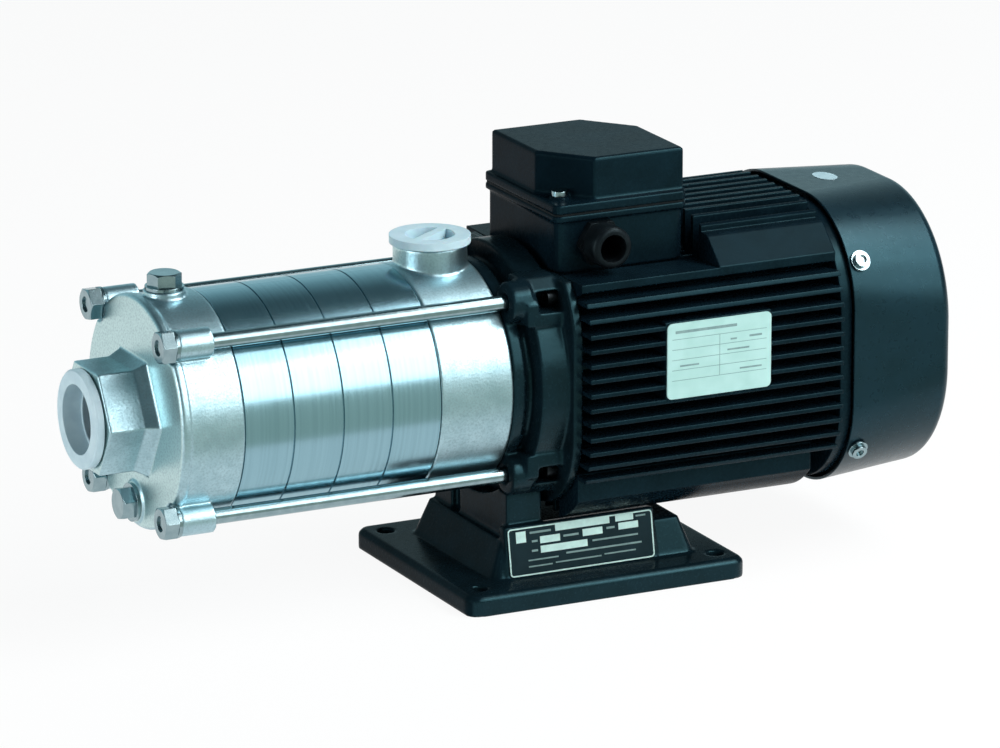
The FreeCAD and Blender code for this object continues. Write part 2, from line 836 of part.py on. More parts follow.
def shaft():
    stub_start = nut_face_x - impeller_nut_height - 3
    shaft_end = fan_end_x + circlip_thickness + 4
    groove_end = fan_end_x + circlip_thickness
    groove_radius = fan_shaft_radius - circlip_depth
    return turned([
        (stub_start, 0), (stub_start, shaft_stub_radius - 1), (stub_start + 1, shaft_stub_radius),
        (nut_face_x, shaft_stub_radius), (nut_face_x, pump_shaft_radius),
        (hub_end_x, pump_shaft_radius), (hub_end_x, seal_shaft_radius),
        (bearing_wall_x, seal_shaft_radius), (front_bearing_x, front_journal_radius),
        (front_bearing_x + front_bearing_width, front_journal_radius),
        (front_bearing_x + front_bearing_width, rotor_shaft_radius),
        (rear_bearing_x, rotor_shaft_radius), (rear_bearing_x, rear_journal_radius),
        (wave_spring_x + 1, rear_journal_radius), (wave_spring_x + 2, fan_shaft_radius),
        (fan_end_x, fan_shaft_radius), (fan_end_x, groove_radius),
        (groove_end, groove_radius), (groove_end, fan_shaft_radius),
        (shaft_end - 1, fan_shaft_radius), (shaft_end, fan_shaft_radius - 1), (shaft_end, 0),
    ])


def impeller_nut():
    start = nut_face_x - impeller_nut_height
    nut = nut_blank(impeller_nut_hex, vec(start, 0, shaft_height), x_axis, impeller_nut_height, 0)
    return nut.cut(rod_x(start - 1, nut_face_x + 1, shaft_stub_radius + snug))


def bearing_sizes(outer_radius, bore_radius):
    """The ball radius, the pitch radius and the two race lands of a ball bearing."""
    ball = (outer_radius - bore_radius) * ball_share
    pitch = (outer_radius + bore_radius) / 2
    land = ball * land_share
    return ball, pitch, pitch + land, pitch - land


def bearing_race(x, width, ball, pitch):
    return Part.makeTorus(pitch, ball + race_clearance, vec(x + width / 2, 0, shaft_height), x_axis)


def bearing_outer(x, width, outer_radius, bore_radius):
    ball, pitch, outer_land, _ = bearing_sizes(outer_radius, bore_radius)
    return ring_x(x, x + width, outer_radius - snug, outer_land).cut(bearing_race(x, width, ball, pitch))


def bearing_inner(x, width, outer_radius, bore_radius):
    ball, pitch, _, inner_land = bearing_sizes(outer_radius, bore_radius)
    return ring_x(x, x + width, inner_land, bore_radius + snug).cut(bearing_race(x, width, ball, pitch))


def bearing_balls(x, width, outer_radius, bore_radius):
    """The balls and the cage that spaces them."""
    ball, pitch, _, _ = bearing_sizes(outer_radius, bore_radius)
    middle = x + width / 2
    half_width = ball + cage_edge
    cage = ring_x(middle - half_width, middle + half_width, pitch + cage_edge, pitch - cage_edge)
    balls = []
    for number in range(bearing_ball_count):
        turn = 2 * math.pi * number / bearing_ball_count
        centre = vec(middle, pitch * math.cos(turn), shaft_height + pitch * math.sin(turn))
        balls.append(Part.makeSphere(ball, centre))
        cage = cage.cut(Part.makeSphere(ball + race_clearance, centre))
    return balls + cage.Solids


def front_bearing(piece):
    return piece(front_bearing_x, front_bearing_width, front_bearing_outer_radius, front_journal_radius)


def rear_bearing(piece):
    return piece(rear_bearing_x, rear_bearing_width, rear_bearing_outer_radius, rear_journal_radius)


def wave_spring():
    outer = rear_bearing_outer_radius - running_gap
    return ring_x(wave_spring_x, shield_seat_x, outer, outer - wave_spring_width)


# Tie rods


def tie_rods():
    return [rod_x(tie_rod_start_x, drum_x, tie_rod_radius, y, shaft_height + z)
            for y, z in corner_places()]


def tie_rod_nuts():
    end = disc_face_x + tie_lug_start - tie_washer_thickness
    start = end - tie_nut_height
    nuts = []
    for y, z in corner_places():
        place = vec(start, y, shaft_height + z)
        nut = nut_blank(tie_nut_hex, place, x_axis, tie_nut_height, tie_nut_turn)
        nuts.append(nut.cut(rod_x(start - 1, end + 1, tie_rod_radius + snug, y, shaft_height + z)))
    return nuts


def tie_rod_washers():
    end = disc_face_x + tie_lug_start
    start = end - tie_washer_thickness
    washers = []
    for y, z in corner_places():
        washer = rod_x(start, end, tie_washer_radius, y, shaft_height + z)
        hole = rod_x(start - 1, end + 1, tie_hole_radius, y, shaft_height + z)
        washers.append(washer.cut(hole))
    return washers


# Bracket and pedestal


def lug_outline(side, up):
    """The lug round a tie rod: its outer corner is cut flat."""
    near = tie_offset - lug_reach
    facet = lug_far - lug_facet
    corners = [(near, near), (near, lug_far), (facet, lug_far), (lug_far, facet), (lug_far, near)]
    return [(side * y, up * z) for y, z in corners]


def bracket():
    """The casting that joins the pump to the motor and holds the front bearing."""
    plate_end = casing_joint_x + bracket_plate_length
    spigot_end = motor_joint_x + spigot_length
    flange_half = frame_half - bracket_flange_step
    solids = [
        rod_x(casing_joint_x, plate_end, bracket_plate_radius),
        rod_x(casing_joint_x + 1, drum_x + 1, bracket_neck_radius),
        rod_x(drum_x, flange_x + 1, drum_radius),
        square_bar(flange_x, motor_joint_x, flange_half, flange_half - frame_flat),
        rod_x(flange_x, spigot_end, stator_radius - snug),
    ]
    lug_x = casing_joint_x + lug_set_back
    for side in (-1, 1):
        for up in (-1, 1):
            solids.append(prism_x(lug_x + lug_round_length, flange_x + 1, lug_outline(side, up)))
            y = side * tie_offset
            z = shaft_height + up * tie_offset
            solids.append(rod_x(lug_x, drum_x, lug_round_radius, y, z))
    casting = fused(solids)
    casting = casting.cut(rod_x(casing_joint_x - 1, plate_end + 1, lantern_mouth_radius))
    casting = casting.cut(rod_x(plate_end, bearing_wall_x, lantern_radius))
    shaft_hole = front_journal_radius + bracket_hub_clearance
    casting = casting.cut(rod_x(bearing_wall_x - 1, front_bearing_x + 1, shaft_hole))
    casting = casting.cut(rod_x(front_bearing_x, spigot_end + 1, front_bearing_outer_radius))
    casting = casting.cut(block(flange_x, motor_joint_x, -frame_half, frame_half, pad_z, box_top))
    casting = casting.cut(rod_x(motor_joint_x, spigot_end + 1, stator_radius - spigot_wall))
    for cut in bracket_cuts():
        casting = casting.cut(cut)
    return casting.removeSplitter()


def bracket_cuts():
    """Tie rod holes, screw notches and screw holes, and the pedestal bolt holes."""
    cuts = []
    for y, z in corner_places():
        height = shaft_height + z
        side = math.copysign(1, y)
        notch = screw_head_radius + notch_clearance
        inner = y - side * notch
        outer = side * frame_half
        cuts.append(rod_x(casing_joint_x - 1, drum_x, tie_rod_radius + snug, y, height))
        cuts.append(block(flange_x - notch_length, flange_x, min(inner, outer), max(inner, outer),
                          height - notch, height + notch))
        cuts.append(rod_x(flange_x - 1, motor_joint_x + 1, screw_radius + screw_clearance, y, height))
    for x, y in pedestal_bolt_places():
        cuts.append(rod_z(x, y, base_thickness, pedestal_bolt_top(), pedestal_bolt_radius + snug))
    return cuts


def pedestal_bolt_places():
    return [(pedestal_bolt_x, side * column_half_width / 2) for side in (-1, 1)]


def pedestal_bolt_top():
    drum_bottom = math.sqrt(drum_radius ** 2 - (column_half_width / 2) ** 2)
    return shaft_height - drum_bottom + pedestal_bolt_grip


def pedestal():
    """The cast foot: base plate, sloped skirt, nameplate panel and column, hollow below."""
    corner = (base_length / 2, base_width / 2)
    plate = slab((-corner[0], -corner[1]), corner, base_corner, 0, base_thickness)
    top_edges = [edge for edge in plate.Edges if edge.BoundBox.ZMin > base_thickness - 0.01]
    plate = plate.makeChamfer(base_bevel, top_edges)
    inset = (foot_end_slope, foot_side_slope)
    low = rounded_wire((foot_start_x, -foot_half_width), (foot_end_x, foot_half_width), foot_corner,
                       level(base_thickness - 1))
    high = rounded_wire((foot_start_x + inset[0], inset[1] - foot_half_width),
                        (foot_end_x - inset[0], foot_half_width - inset[1]), foot_corner - foot_wall,
                        level(foot_height))
    skirt = Part.makeLoft([low, high], True, True)
    casting = fused([plate, skirt, pedestal_column(), nameplate_panel()])
    half_hollow = foot_half_width - foot_wall - inset[1]
    casting = casting.cut(block(foot_start_x + foot_wall + inset[0], foot_end_x - foot_wall - inset[0],
                                -half_hollow, half_hollow, -1, foot_height - foot_roof))
    for x in (-base_hole_x, base_hole_x):
        for y in (-base_hole_y, base_hole_y):
            casting = casting.cut(rod_z(x, y, -1, base_thickness + 1, base_hole_radius))
    bolt_hole = pedestal_bolt_radius + pedestal_bolt_clearance
    for x, y in pedestal_bolt_places():
        casting = casting.cut(rod_z(x, y, 0, shaft_height, bolt_hole))
    return casting.removeSplitter()


def pedestal_column():
    """The block that rises from the skirt to the bracket, shaped to its drum and lugs."""
    end = column_x + column_length
    column = block(column_x, end, -column_half_width, column_half_width, foot_height - foot_roof,
                   shaft_height - drum_radius * 0.7)
    column = column.cut(rod_x(column_x - 1, end + 1, drum_radius + snug))
    for side in (-1, 1):
        column = column.cut(prism_x(column_x - 1, end + 1, lug_outline(side, -1)))
        column = column.cut(rod_x(column_x - 1, end + 1, tie_rod_radius + column_rod_gap,
                                  side * tie_offset, shaft_height - tie_offset))
    return column.cut(block(column_x - 1, column_x + column_channel_depth,
                            column_channel_y - column_channel_width / 2,
                            column_channel_y + column_channel_width / 2, foot_height, shaft_height))


def panel_point(x, up, out):
    """A point on the sloped nameplate panel: up along its face and out from it."""
    slope = math.radians(panel_slope)
    y = -foot_half_width + up * math.sin(slope) - out * math.cos(slope)
    z = base_thickness + up * math.cos(slope) + out * math.sin(slope)
    return vec(x, y, z)


def nameplate_panel():
    height = (panel_top - base_thickness) / math.cos(math.radians(panel_slope))
    root = -panel_thickness / 2
    outline = [(root, 0), (height, 0), (height, -panel_thickness), (root, -panel_thickness)]
    corners = [panel_point(pump_plate_x - pump_plate_margin, up, out) for up, out in outline]
    return face_of(corners).extrude(vec(pump_plate_length + 2 * pump_plate_margin, 0, 0))


def pedestal_bolts():
    bolts = []
    seat = foot_height - foot_roof
    for x, y in pedestal_bolt_places():
        head = rod_z(x, y, seat - pedestal_bolt_head, seat, pedestal_bolt_head_radius)
        head = head.cut(hexagon(pedestal_bolt_head_radius, vec(x, y, seat - pedestal_bolt_head), z_axis,
                                socket_depth))
        shank = rod_z(x, y, seat - 1, pedestal_bolt_top() - 1, pedestal_bolt_radius)
        bolts.append(head.fuse(shank).removeSplitter())
    return bolts


def pump_nameplate():
    def at(a, b):
        return panel_point(pump_plate_x + a, pump_plate_lift + b, 0)
    wire = rounded_wire((0, 0), (pump_plate_length, pump_plate_height), plate_corner / 2, at)
    slope = math.radians(panel_slope)
    outward = vec(0, -math.cos(slope), math.sin(slope))
    return Part.Face(wire).extrude(outward * plate_thickness)


def motor_nameplate():
    low = (motor_plate_x - motor_plate_length / 2, motor_plate_z - motor_plate_height / 2)
    high = (motor_plate_x + motor_plate_length / 2, motor_plate_z + motor_plate_height / 2)
    wire = rounded_wire(low, high, plate_corner, lambda x, z: vec(x, plate_face_y, shaft_height + z))
    return Part.Face(wire).extrude(vec(0, -plate_thickness, 0))


# Motor


def fins():
    """Cooling fins: level on the sides, upright on top and below."""
    half = fin_thickness / 2
    root = barrel_radius / 2
    bars = []
    for number in range(side_fin_count):
        z = shaft_height + side_fin_top - number * side_fin_pitch
        bars.append(block(motor_joint_x, frame_end_x, -frame_half, frame_half, z - half, z + half))
    for number in range(-top_fins_each_side, top_fins_each_side + 1):
        y = number * top_fin_pitch
        bars.append(block(motor_joint_x, frame_end_x, y - half, y + half, shaft_height + root,
                          shaft_height + frame_half))
    for number in range(-bottom_fins_each_side, bottom_fins_each_side + 1):
        y = number * top_fin_pitch
        bars.append(block(motor_joint_x, frame_end_x, y - half, y + half,
                          shaft_height - frame_half + bottom_fin_drop, shaft_height - root))
    return bars


def corner_blocks():
    """The solid frame corners round the screw holes: a sloped shoulder above, square below."""
    root = tie_offset - corner_block_root
    rim = frame_half - shoulder_side_drop
    rim_z = box_pad_height + shoulder_rise
    outside = frame_half - corner_block_side
    upper = [
        (root, tie_offset), (tie_offset, frame_half - shoulder_top_drop),
        (tie_offset + shoulder_start, frame_half - shoulder_top_drop), (rim, rim_z),
        (rim, rim_z - corner_block_root), (tie_offset, root),
    ]
    lower = [
        (root, tie_offset), (root, frame_half), (outside, frame_half), (outside, tie_offset),
        (tie_offset, root),
    ]
    blocks = []
    for side in (-1, 1):
        blocks.append(prism_x(motor_joint_x, frame_end_x, [(side * y, z) for y, z in upper]))
        blocks.append(prism_x(motor_joint_x, frame_end_x - corner_block_stop,
                              [(side * y, -z) for y, z in lower]))
    return blocks


def motor_frame():
    pad_length = motor_plate_length / 2 + plate_border
    pad_height = motor_plate_height / 2 + plate_border
    plate_z = shaft_height + motor_plate_z
    ribs = fins() + corner_blocks()
    ribs.append(block(motor_plate_x - pad_length, motor_plate_x + pad_length, plate_face_y,
                      -stator_radius, plate_z - pad_height, plate_z + pad_height))
    for y, z in corner_places():
        ribs.append(rod_x(motor_joint_x, frame_end_x, screw_boss_radius, y, shaft_height + z))
    ribs = fused(ribs).common(square_bar(motor_joint_x, frame_end_x, frame_half, frame_corner))
    ribs = ribs.cut(block(motor_joint_x, box_pad_end_x, -frame_half, frame_half, pad_z, box_top))
    frame = ribs.fuse(rod_x(motor_joint_x, frame_end_x, barrel_radius))
    frame = frame.cut(rod_x(motor_joint_x - 1, frame_end_x + 1, stator_radius))
    depth = screw_length - bracket_flange_length + 2
    for y, z in corner_places():
        for start in (motor_joint_x, frame_end_x - depth):
            hole = rod_x(start, start + depth, screw_radius + snug, y, shaft_height + z)
            frame = frame.cut(hole)
    wire_hole = rod_z(box_middle_x - wire_hole_back, 0, shaft_height, floor_z, wire_hole_radius)
    return frame.cut(wire_hole).removeSplitter()


def motor_screws():
    """Socket-head screws that hold the bracket and the rear shield to the frame."""
    screws = []
    for y, z in corner_places():
        for seat, direction in ((flange_x, 1), (frame_end_x + shield_plate, -1)):
            along = x_axis * direction
            start = vec(seat, y, shaft_height + z)
            top = start - along * screw_head_height
            head = Part.makeCylinder(screw_head_radius, screw_head_height, top, along)
            head = head.cut(hexagon(screw_head_radius, top, along, socket_depth))
            shank = Part.makeCylinder(screw_radius, screw_length + 1, start - along, along)
            screws.append(head.fuse(shank).removeSplitter())
    return screws


def stator_core():
    core = ring_x(core_x, core_end_x, stator_radius - snug, rotor_radius + air_gap)
    for number in range(slot_count):
        core = core.cut(stator_slot(number, slot_width, 0))
    return core


def stator_slot(number, width, inset):
    low = shaft_height + slot_radius
    bar = block(core_x - 1, core_end_x + 1, -width / 2, width / 2, low + inset, low + slot_depth - inset)
    return bar.rotated(vec(0, 0, shaft_height), x_axis, 360.0 * number / slot_count)


def stator_windings():
    """Slot bars joined at both ends by rounded end turns."""
    inner = slot_radius + slot_clearance
    outer = slot_radius + slot_depth - slot_clearance
    solids = []
    for low, high in ((core_x - end_turn_length, core_x - slot_clearance),
                      (core_end_x + slot_clearance, core_end_x + end_turn_length)):
        solids.append(turned([
            (low, inner + end_turn_round), (low, outer - end_turn_round),
            (low + end_turn_round, outer), (high - end_turn_round, outer),
            (high, outer - end_turn_round), (high, inner + end_turn_round),
            (high - end_turn_round, inner), (low + end_turn_round, inner),
        ]))
    for number in range(slot_count):
        solids.append(stator_slot(number, slot_width - 2 * slot_clearance, slot_bar_inset))
    return fused(solids)


def rotor_core():
    """The laminated rotor with its cast end rings."""
    solids = [ring_x(core_x, core_end_x, rotor_radius, rotor_shaft_radius + snug)]
    for low, high in ((core_x - end_ring_length, core_x), (core_end_x, core_end_x + end_ring_length)):
        solids.append(ring_x(low, high, rotor_radius - end_ring_step, end_ring_inner))
    return fused(solids)


def rear_end_shield():
    """The plate that closes the frame, holds the rear bearing and carries the cover's posts."""
    hub_outer = rear_bearing_outer_radius + shield_hub_wall
    hub_end = shield_seat_x + shield_hub_end
    half = frame_half - shield_step
    spigot_start = frame_end_x - spigot_length
    plate = square_bar(frame_end_x, cover_start_x, half, half - frame_flat)
    hub = rod_x(frame_end_x, hub_end, hub_outer)
    spigot = rod_x(spigot_start, frame_end_x + 1, stator_radius - snug)
    shield = fused([plate, hub, spigot] + cover_posts())
    shield = shield.cut(ring_x(spigot_start, frame_end_x, stator_radius - spigot_wall, hub_outer))
    shield = shield.cut(rod_x(spigot_start - 1, shield_seat_x, rear_bearing_outer_radius))
    shield = shield.cut(rod_x(spigot_start, hub_end + 1, rear_journal_radius + 1))
    for y, z in corner_places():
        shield = shield.cut(rod_x(frame_end_x - 1, cover_start_x + 1, screw_radius + screw_clearance, y,
                                  shaft_height + z))
    return shield.removeSplitter()


def cover_screw_places():
    """Where each cover screw meets the cover, and the direction it points out."""
    places = []
    turn = math.radians(cover_screw_angle)
    for side in (-1, 1):
        for up in (-1, 1):
            outward = vec(0, side * math.cos(turn), up * math.sin(turn))
            centre = vec(cover_start_x + cover_screw_back, side * frame_flat,
                         shaft_height + up * frame_flat)
            places.append((centre, outward))
    return places


def cover_posts():
    """The four posts under the cover's screws, shaped to its inside."""
    posts = []
    half = frame_half - cover_wall - shield_step
    inside = cover_shell(cover_wall + cover_clearance)
    inside = inside.fuse(square_bar(frame_end_x, cover_start_x + 1, half, half - frame_flat))
    for centre, outward in cover_screw_places():
        low = centre + outward * (frame_corner - post_height)
        post = Part.makeCylinder(post_width / 2, post_height, low, outward)
        root = vec(cover_start_x - 1, low.y, low.z)
        bridge = Part.makeCylinder(post_width / 2 - post_bridge_step, post_length, root, x_axis)
        hole = Part.makeCylinder(cover_screw_radius + snug, cover_screw_length + 1,
                                 centre + outward * (frame_corner - cover_screw_length), outward)
        posts.append(post.fuse(bridge).common(inside).cut(hole))
    return posts


def cover_screws():
    screws = []
    for centre, outward in cover_screw_places():
        seat = centre + outward * (frame_corner + cover_washer_gap + cover_washer_thickness)
        head = Part.makeCylinder(cover_screw_head_radius, cover_screw_head_height, seat, outward)
        socket_floor = seat + outward * (cover_screw_head_height - cover_screw_socket_depth)
        head = head.cut(Part.makeCylinder(cover_screw_socket_radius, cover_screw_head_height,
                                          socket_floor, outward))
        tip = seat - outward * (cover_screw_length - 1)
        shank = Part.makeCylinder(cover_screw_radius, cover_screw_length, tip, outward)
        screws.append(head.fuse(shank).removeSplitter())
    return screws


def cover_washers():
    washers = []
    for centre, outward in cover_screw_places():
        start = centre + outward * (frame_corner + cover_washer_gap)
        washer = Part.makeCylinder(cover_washer_radius, cover_washer_thickness, start, outward)
        hole = Part.makeCylinder(cover_screw_radius + screw_clearance, cover_washer_thickness + 2,
                                 start - outward, outward)
        washers.append(washer.cut(hole))
    return washers


def cover_shell(inset):
    """The fan cover's rounded form, drawn in by inset from its outer face."""
    wires = []
    ends = ((cover_start_x, frame_half, frame_corner), (cover_end_x, cover_rear_half, cover_rear_corner))
    for x, half, corner in ends:
        side = half - inset
        wires.append(rounded_wire((-side, -side), (side, side), corner - inset, across(x)))
    solid = Part.makeLoft(wires, True, True)
    if inset > 0:
        solid = solid.cut(rod_x(cover_end_x - inset, cover_end_x + 1, 2 * frame_half))
    rear = [edge for edge in solid.Edges if edge.BoundBox.XMin > cover_end_x - inset - 0.01]
    return solid.makeFillet(cover_edge - inset, rear)


def fan_cover():
    shell = cover_shell(0).cut(cover_shell(cover_wall))
    mouth = square_bar(cover_start_x - 1, cover_start_x + 2, frame_half - cover_wall,
                       frame_corner - cover_wall)
    shell = shell.cut(mouth)
    slots = []
    for ring in range(grille_rings):
        inner = grille_start + ring * grille_pitch
        band = ring_x(cover_end_x - 2 * cover_wall, cover_end_x + 1, inner + grille_slot, inner)
        slots.append(band.cut(grille_ribs()))
    for slot in slots:
        shell = shell.cut(slot)
    for centre, outward in cover_screw_places():
        shell = shell.cut(Part.makeCylinder(cover_screw_radius + screw_clearance, 2 * post_height,
                                            centre + outward * (frame_corner - post_height), outward))
    return shell


def grille_ribs():
    bars = []
    for number in range(grille_sectors // 2):
        bar = block(cover_end_x - 3 * cover_wall, cover_end_x + 2, -grille_rib / 2, grille_rib / 2,
                    shaft_height - frame_half, shaft_height + frame_half)
        bars.append(bar.rotated(vec(0, 0, shaft_height), x_axis, 360.0 * number / grille_sectors))
    return fused(bars)


def fan():
    solids = [
        ring_x(fan_x, fan_end_x, fan_hub_radius, fan_shaft_radius + snug),
        ring_x(fan_x, fan_x + fan_disc, fan_radius - 2 * fan_disc, fan_hub_radius - 1),
    ]
    for number in range(fan_blades):
        blade = block(fan_x, fan_end_x - 2, -fan_blade_thickness / 2, fan_blade_thickness / 2,
                      shaft_height + fan_hub_radius - 2, shaft_height + fan_radius)
        solids.append(blade.rotated(vec(0, 0, shaft_height), x_axis, 360.0 * number / fan_blades))
    return fused(solids)


def fan_circlip():
    start = fan_end_x + circlip_play
    end = fan_end_x + circlip_thickness - circlip_play
    inner = fan_shaft_radius - circlip_depth + circlip_play
    ring = ring_x(start, end, fan_shaft_radius + circlip_reach, inner)
    gap = circlip_reach
    return ring.cut(block(start - 1, end + 1, -gap, gap, shaft_height, shaft_height + fan_hub_radius))


# Terminal box


def terminal_box():
    low = (box_start_x, -box_half_width)
    high = (box_end_x, box_half_width)
    inside = slab((low[0] + box_wall, low[1] + box_wall), (high[0] - box_wall, high[1] - box_wall),
                  box_corner - 1, pad_z - 1, lid_base_z)
    lip = slab((low[0] - lip_reach, low[1] - lip_reach), (high[0] + lip_reach, high[1] + lip_reach),
               box_corner, box_top, box_top + lip_height)
    shell = slab(low, high, box_corner, pad_z, box_top).fuse(lip).cut(inside)
    solids = [shell, slab(low, high, box_corner, floor_z, floor_z + box_floor)]
    for x, y in lid_screw_places():
        solids.append(rod_z(x, y, floor_z, box_top + lip_height, lid_screw_radius + lid_screw_boss))
    for x, y in board_post_places():
        solids.append(rod_z(x, y, floor_z, board_z, board_post_radius))
    box = fused(solids)
    box = box.cut(rod_x(box_start_x - 1, box_end_x + 1, barrel_radius + barrel_clearance))
    for x, y in lid_screw_places():
        box = box.cut(rod_z(x, y, lid_base_z - lid_screw_length - 2, lid_base_z, lid_screw_radius + snug))
    box = box.cut(rod_z(box_middle_x - wire_hole_back, 0, shaft_height, floor_z + box_floor + 1,
                        wire_hole_radius))
    gland_start = vec(gland_x, -box_half_width - 1, gland_z)
    gland_depth = box_wall + gland_inner_thread + 2
    gland_hole = Part.makeCylinder(gland_thread_radius + snug, gland_depth, gland_start, y_axis)
    return box.cut(gland_hole).removeSplitter()


def lid_screw_places():
    """The two screws in the lid's cut corners, each square off a point along its cut."""
    cut = math.hypot(lid_cut_x, lid_cut_y)
    reach = lid_screw_head_radius + lid_screw_gap
    x = lid_cut_x * lid_screw_share - reach * lid_cut_y / cut
    y = lid_half_width - lid_cut_y * (1 - lid_screw_share) + reach * lid_cut_x / cut
    return [(lid_start_x + x, -y), (lid_end_x - x, y)]


def board_post_places():
    reach = board_length / 2 - board_post_radius
    return [(board_x - reach, 0), (board_x + reach, 0)]


def lid_outline(inset, z):
    """The lid's plan: a rectangle with two opposite corners cut off."""
    low_x = lid_start_x + inset
    high_x = lid_end_x - inset
    half = lid_half_width - inset
    corners = [(low_x, -half + lid_cut_y), (low_x + lid_cut_x, -half), (high_x, -half),
               (high_x, half - lid_cut_y), (high_x - lid_cut_x, half), (low_x, half)]
    return face_of([vec(x, y, z) for x, y in corners])


def terminal_box_lid():
    flange = slab((box_start_x - lip_reach, -box_half_width - lip_reach),
                  (box_end_x + lip_reach, box_half_width + lip_reach), box_corner, lid_base_z,
                  lid_flange_top)
    crown = lid_outline(0, lid_base_z).extrude(vec(0, 0, lid_height))
    top_edges = [edge for edge in crown.Edges if edge.BoundBox.ZMin > lid_top_z - 0.01]
    crown = crown.makeChamfer(lid_bevel, top_edges)
    pad_radius = lid_screw_head_radius + lid_pad_step
    pads = [rod_z(x, y, lid_flange_top - 1, lid_screw_seat_z, pad_radius) for x, y in lid_screw_places()]
    lid = fused([flange, crown] + pads)
    lid = lid.cut(lid_outline(lid_wall, lid_base_z - 1).extrude(vec(0, 0, lid_height + 1 - lid_wall)))
    for x, y in lid_screw_places():
        lid = lid.cut(rod_z(x, y, lid_base_z - 1, lid_screw_seat_z + 1, lid_screw_radius + screw_clearance))
    return lid.removeSplitter()


def terminal_box_gasket():
    base = box_top + lip_height
    reach = lip_reach - gasket_inset
    low = (box_start_x - reach, -box_half_width - reach)
    outer = slab(low, (box_end_x + reach, -low[1]), box_corner, base, lid_base_z)
    gasket = outer.cut(lid_outline(lid_wall, base - 1).extrude(vec(0, 0, gasket_thickness + 2)))
    for x, y in lid_screw_places():
        gasket = gasket.cut(rod_z(x, y, base - 1, lid_base_z + 1, lid_screw_radius + screw_clearance))
    return gasket


def lid_screws():
    screws = []
    for x, y in lid_screw_places():
        head_end_z = lid_screw_seat_z + lid_screw_head_height
        head = rod_z(x, y, lid_screw_seat_z, head_end_z, lid_screw_head_radius)
        shank = rod_z(x, y, lid_base_z - lid_screw_length, lid_screw_seat_z + 1, lid_screw_radius)
        screws.append(head.fuse(shank).removeSplitter())
    return screws


def terminal_board():
    half_length = board_length / 2
    half_width = board_width / 2
    top = board_z + board_thickness
    board = slab((board_x - half_length, -half_width), (board_x + half_length, half_width), board_corner,
                 board_z, top)
    for x, y in stud_places():
        board = board.cut(rod_z(x, y, board_z - 1, top + 1, stud_radius + snug))
    return board


def stud_places():
    steps = (-stud_span_x, 0, stud_span_x)
    return [(board_x + step, side * stud_span_y / 2) for step in steps for side in (-1, 1)]


def terminal_studs():
    """Brass studs, each with its nut."""
    studs = []
    top = board_z + board_thickness
    for x, y in stud_places():
        stem = rod_z(x, y, board_z, top + stud_height, stud_radius)
        nut = hexagon(stud_nut_hex, vec(x, y, top), z_axis, stud_nut_height)
        studs.append(stem.fuse(nut).removeSplitter())
    return studs


def cable_gland():
    """The gland body: a hexagon against the box and a threaded sleeve each side."""
    seat = vec(gland_x, -box_half_width, gland_z)
    body = hexagon(gland_hex, seat, -y_axis, gland_flange_length)
    outer_end = seat - y_axis * (gland_flange_length + gland_thread_length)
    length = gland_flange_length + gland_thread_length + box_wall + gland_inner_thread
    sleeve = Part.makeCylinder(gland_thread_radius, length, outer_end, y_axis)
    bore = Part.makeCylinder(gland_opening_radius, length + 2, outer_end - y_axis, y_axis)
    return body.fuse(sleeve).cut(bore).removeSplitter()


def gland_nut():
    """The dome nut over the gland's outer sleeve."""
    start = vec(gland_x, -box_half_width - gland_flange_length, gland_z)
    nut = Part.makeCylinder(gland_nut_radius, gland_nut_length, start, -y_axis)
    front = [edge for edge in nut.Edges if edge.BoundBox.YMax < start.y - gland_nut_length + 0.01]
    nut = nut.makeFillet(gland_nut_round, front)
    socket = Part.makeCylinder(gland_thread_radius + snug, gland_thread_length + cap_gap, start, -y_axis)
    bore = Part.makeCylinder(gland_opening_radius, gland_nut_length + 2, start + y_axis, -y_axis)
    return nut.cut(socket).cut(bore)


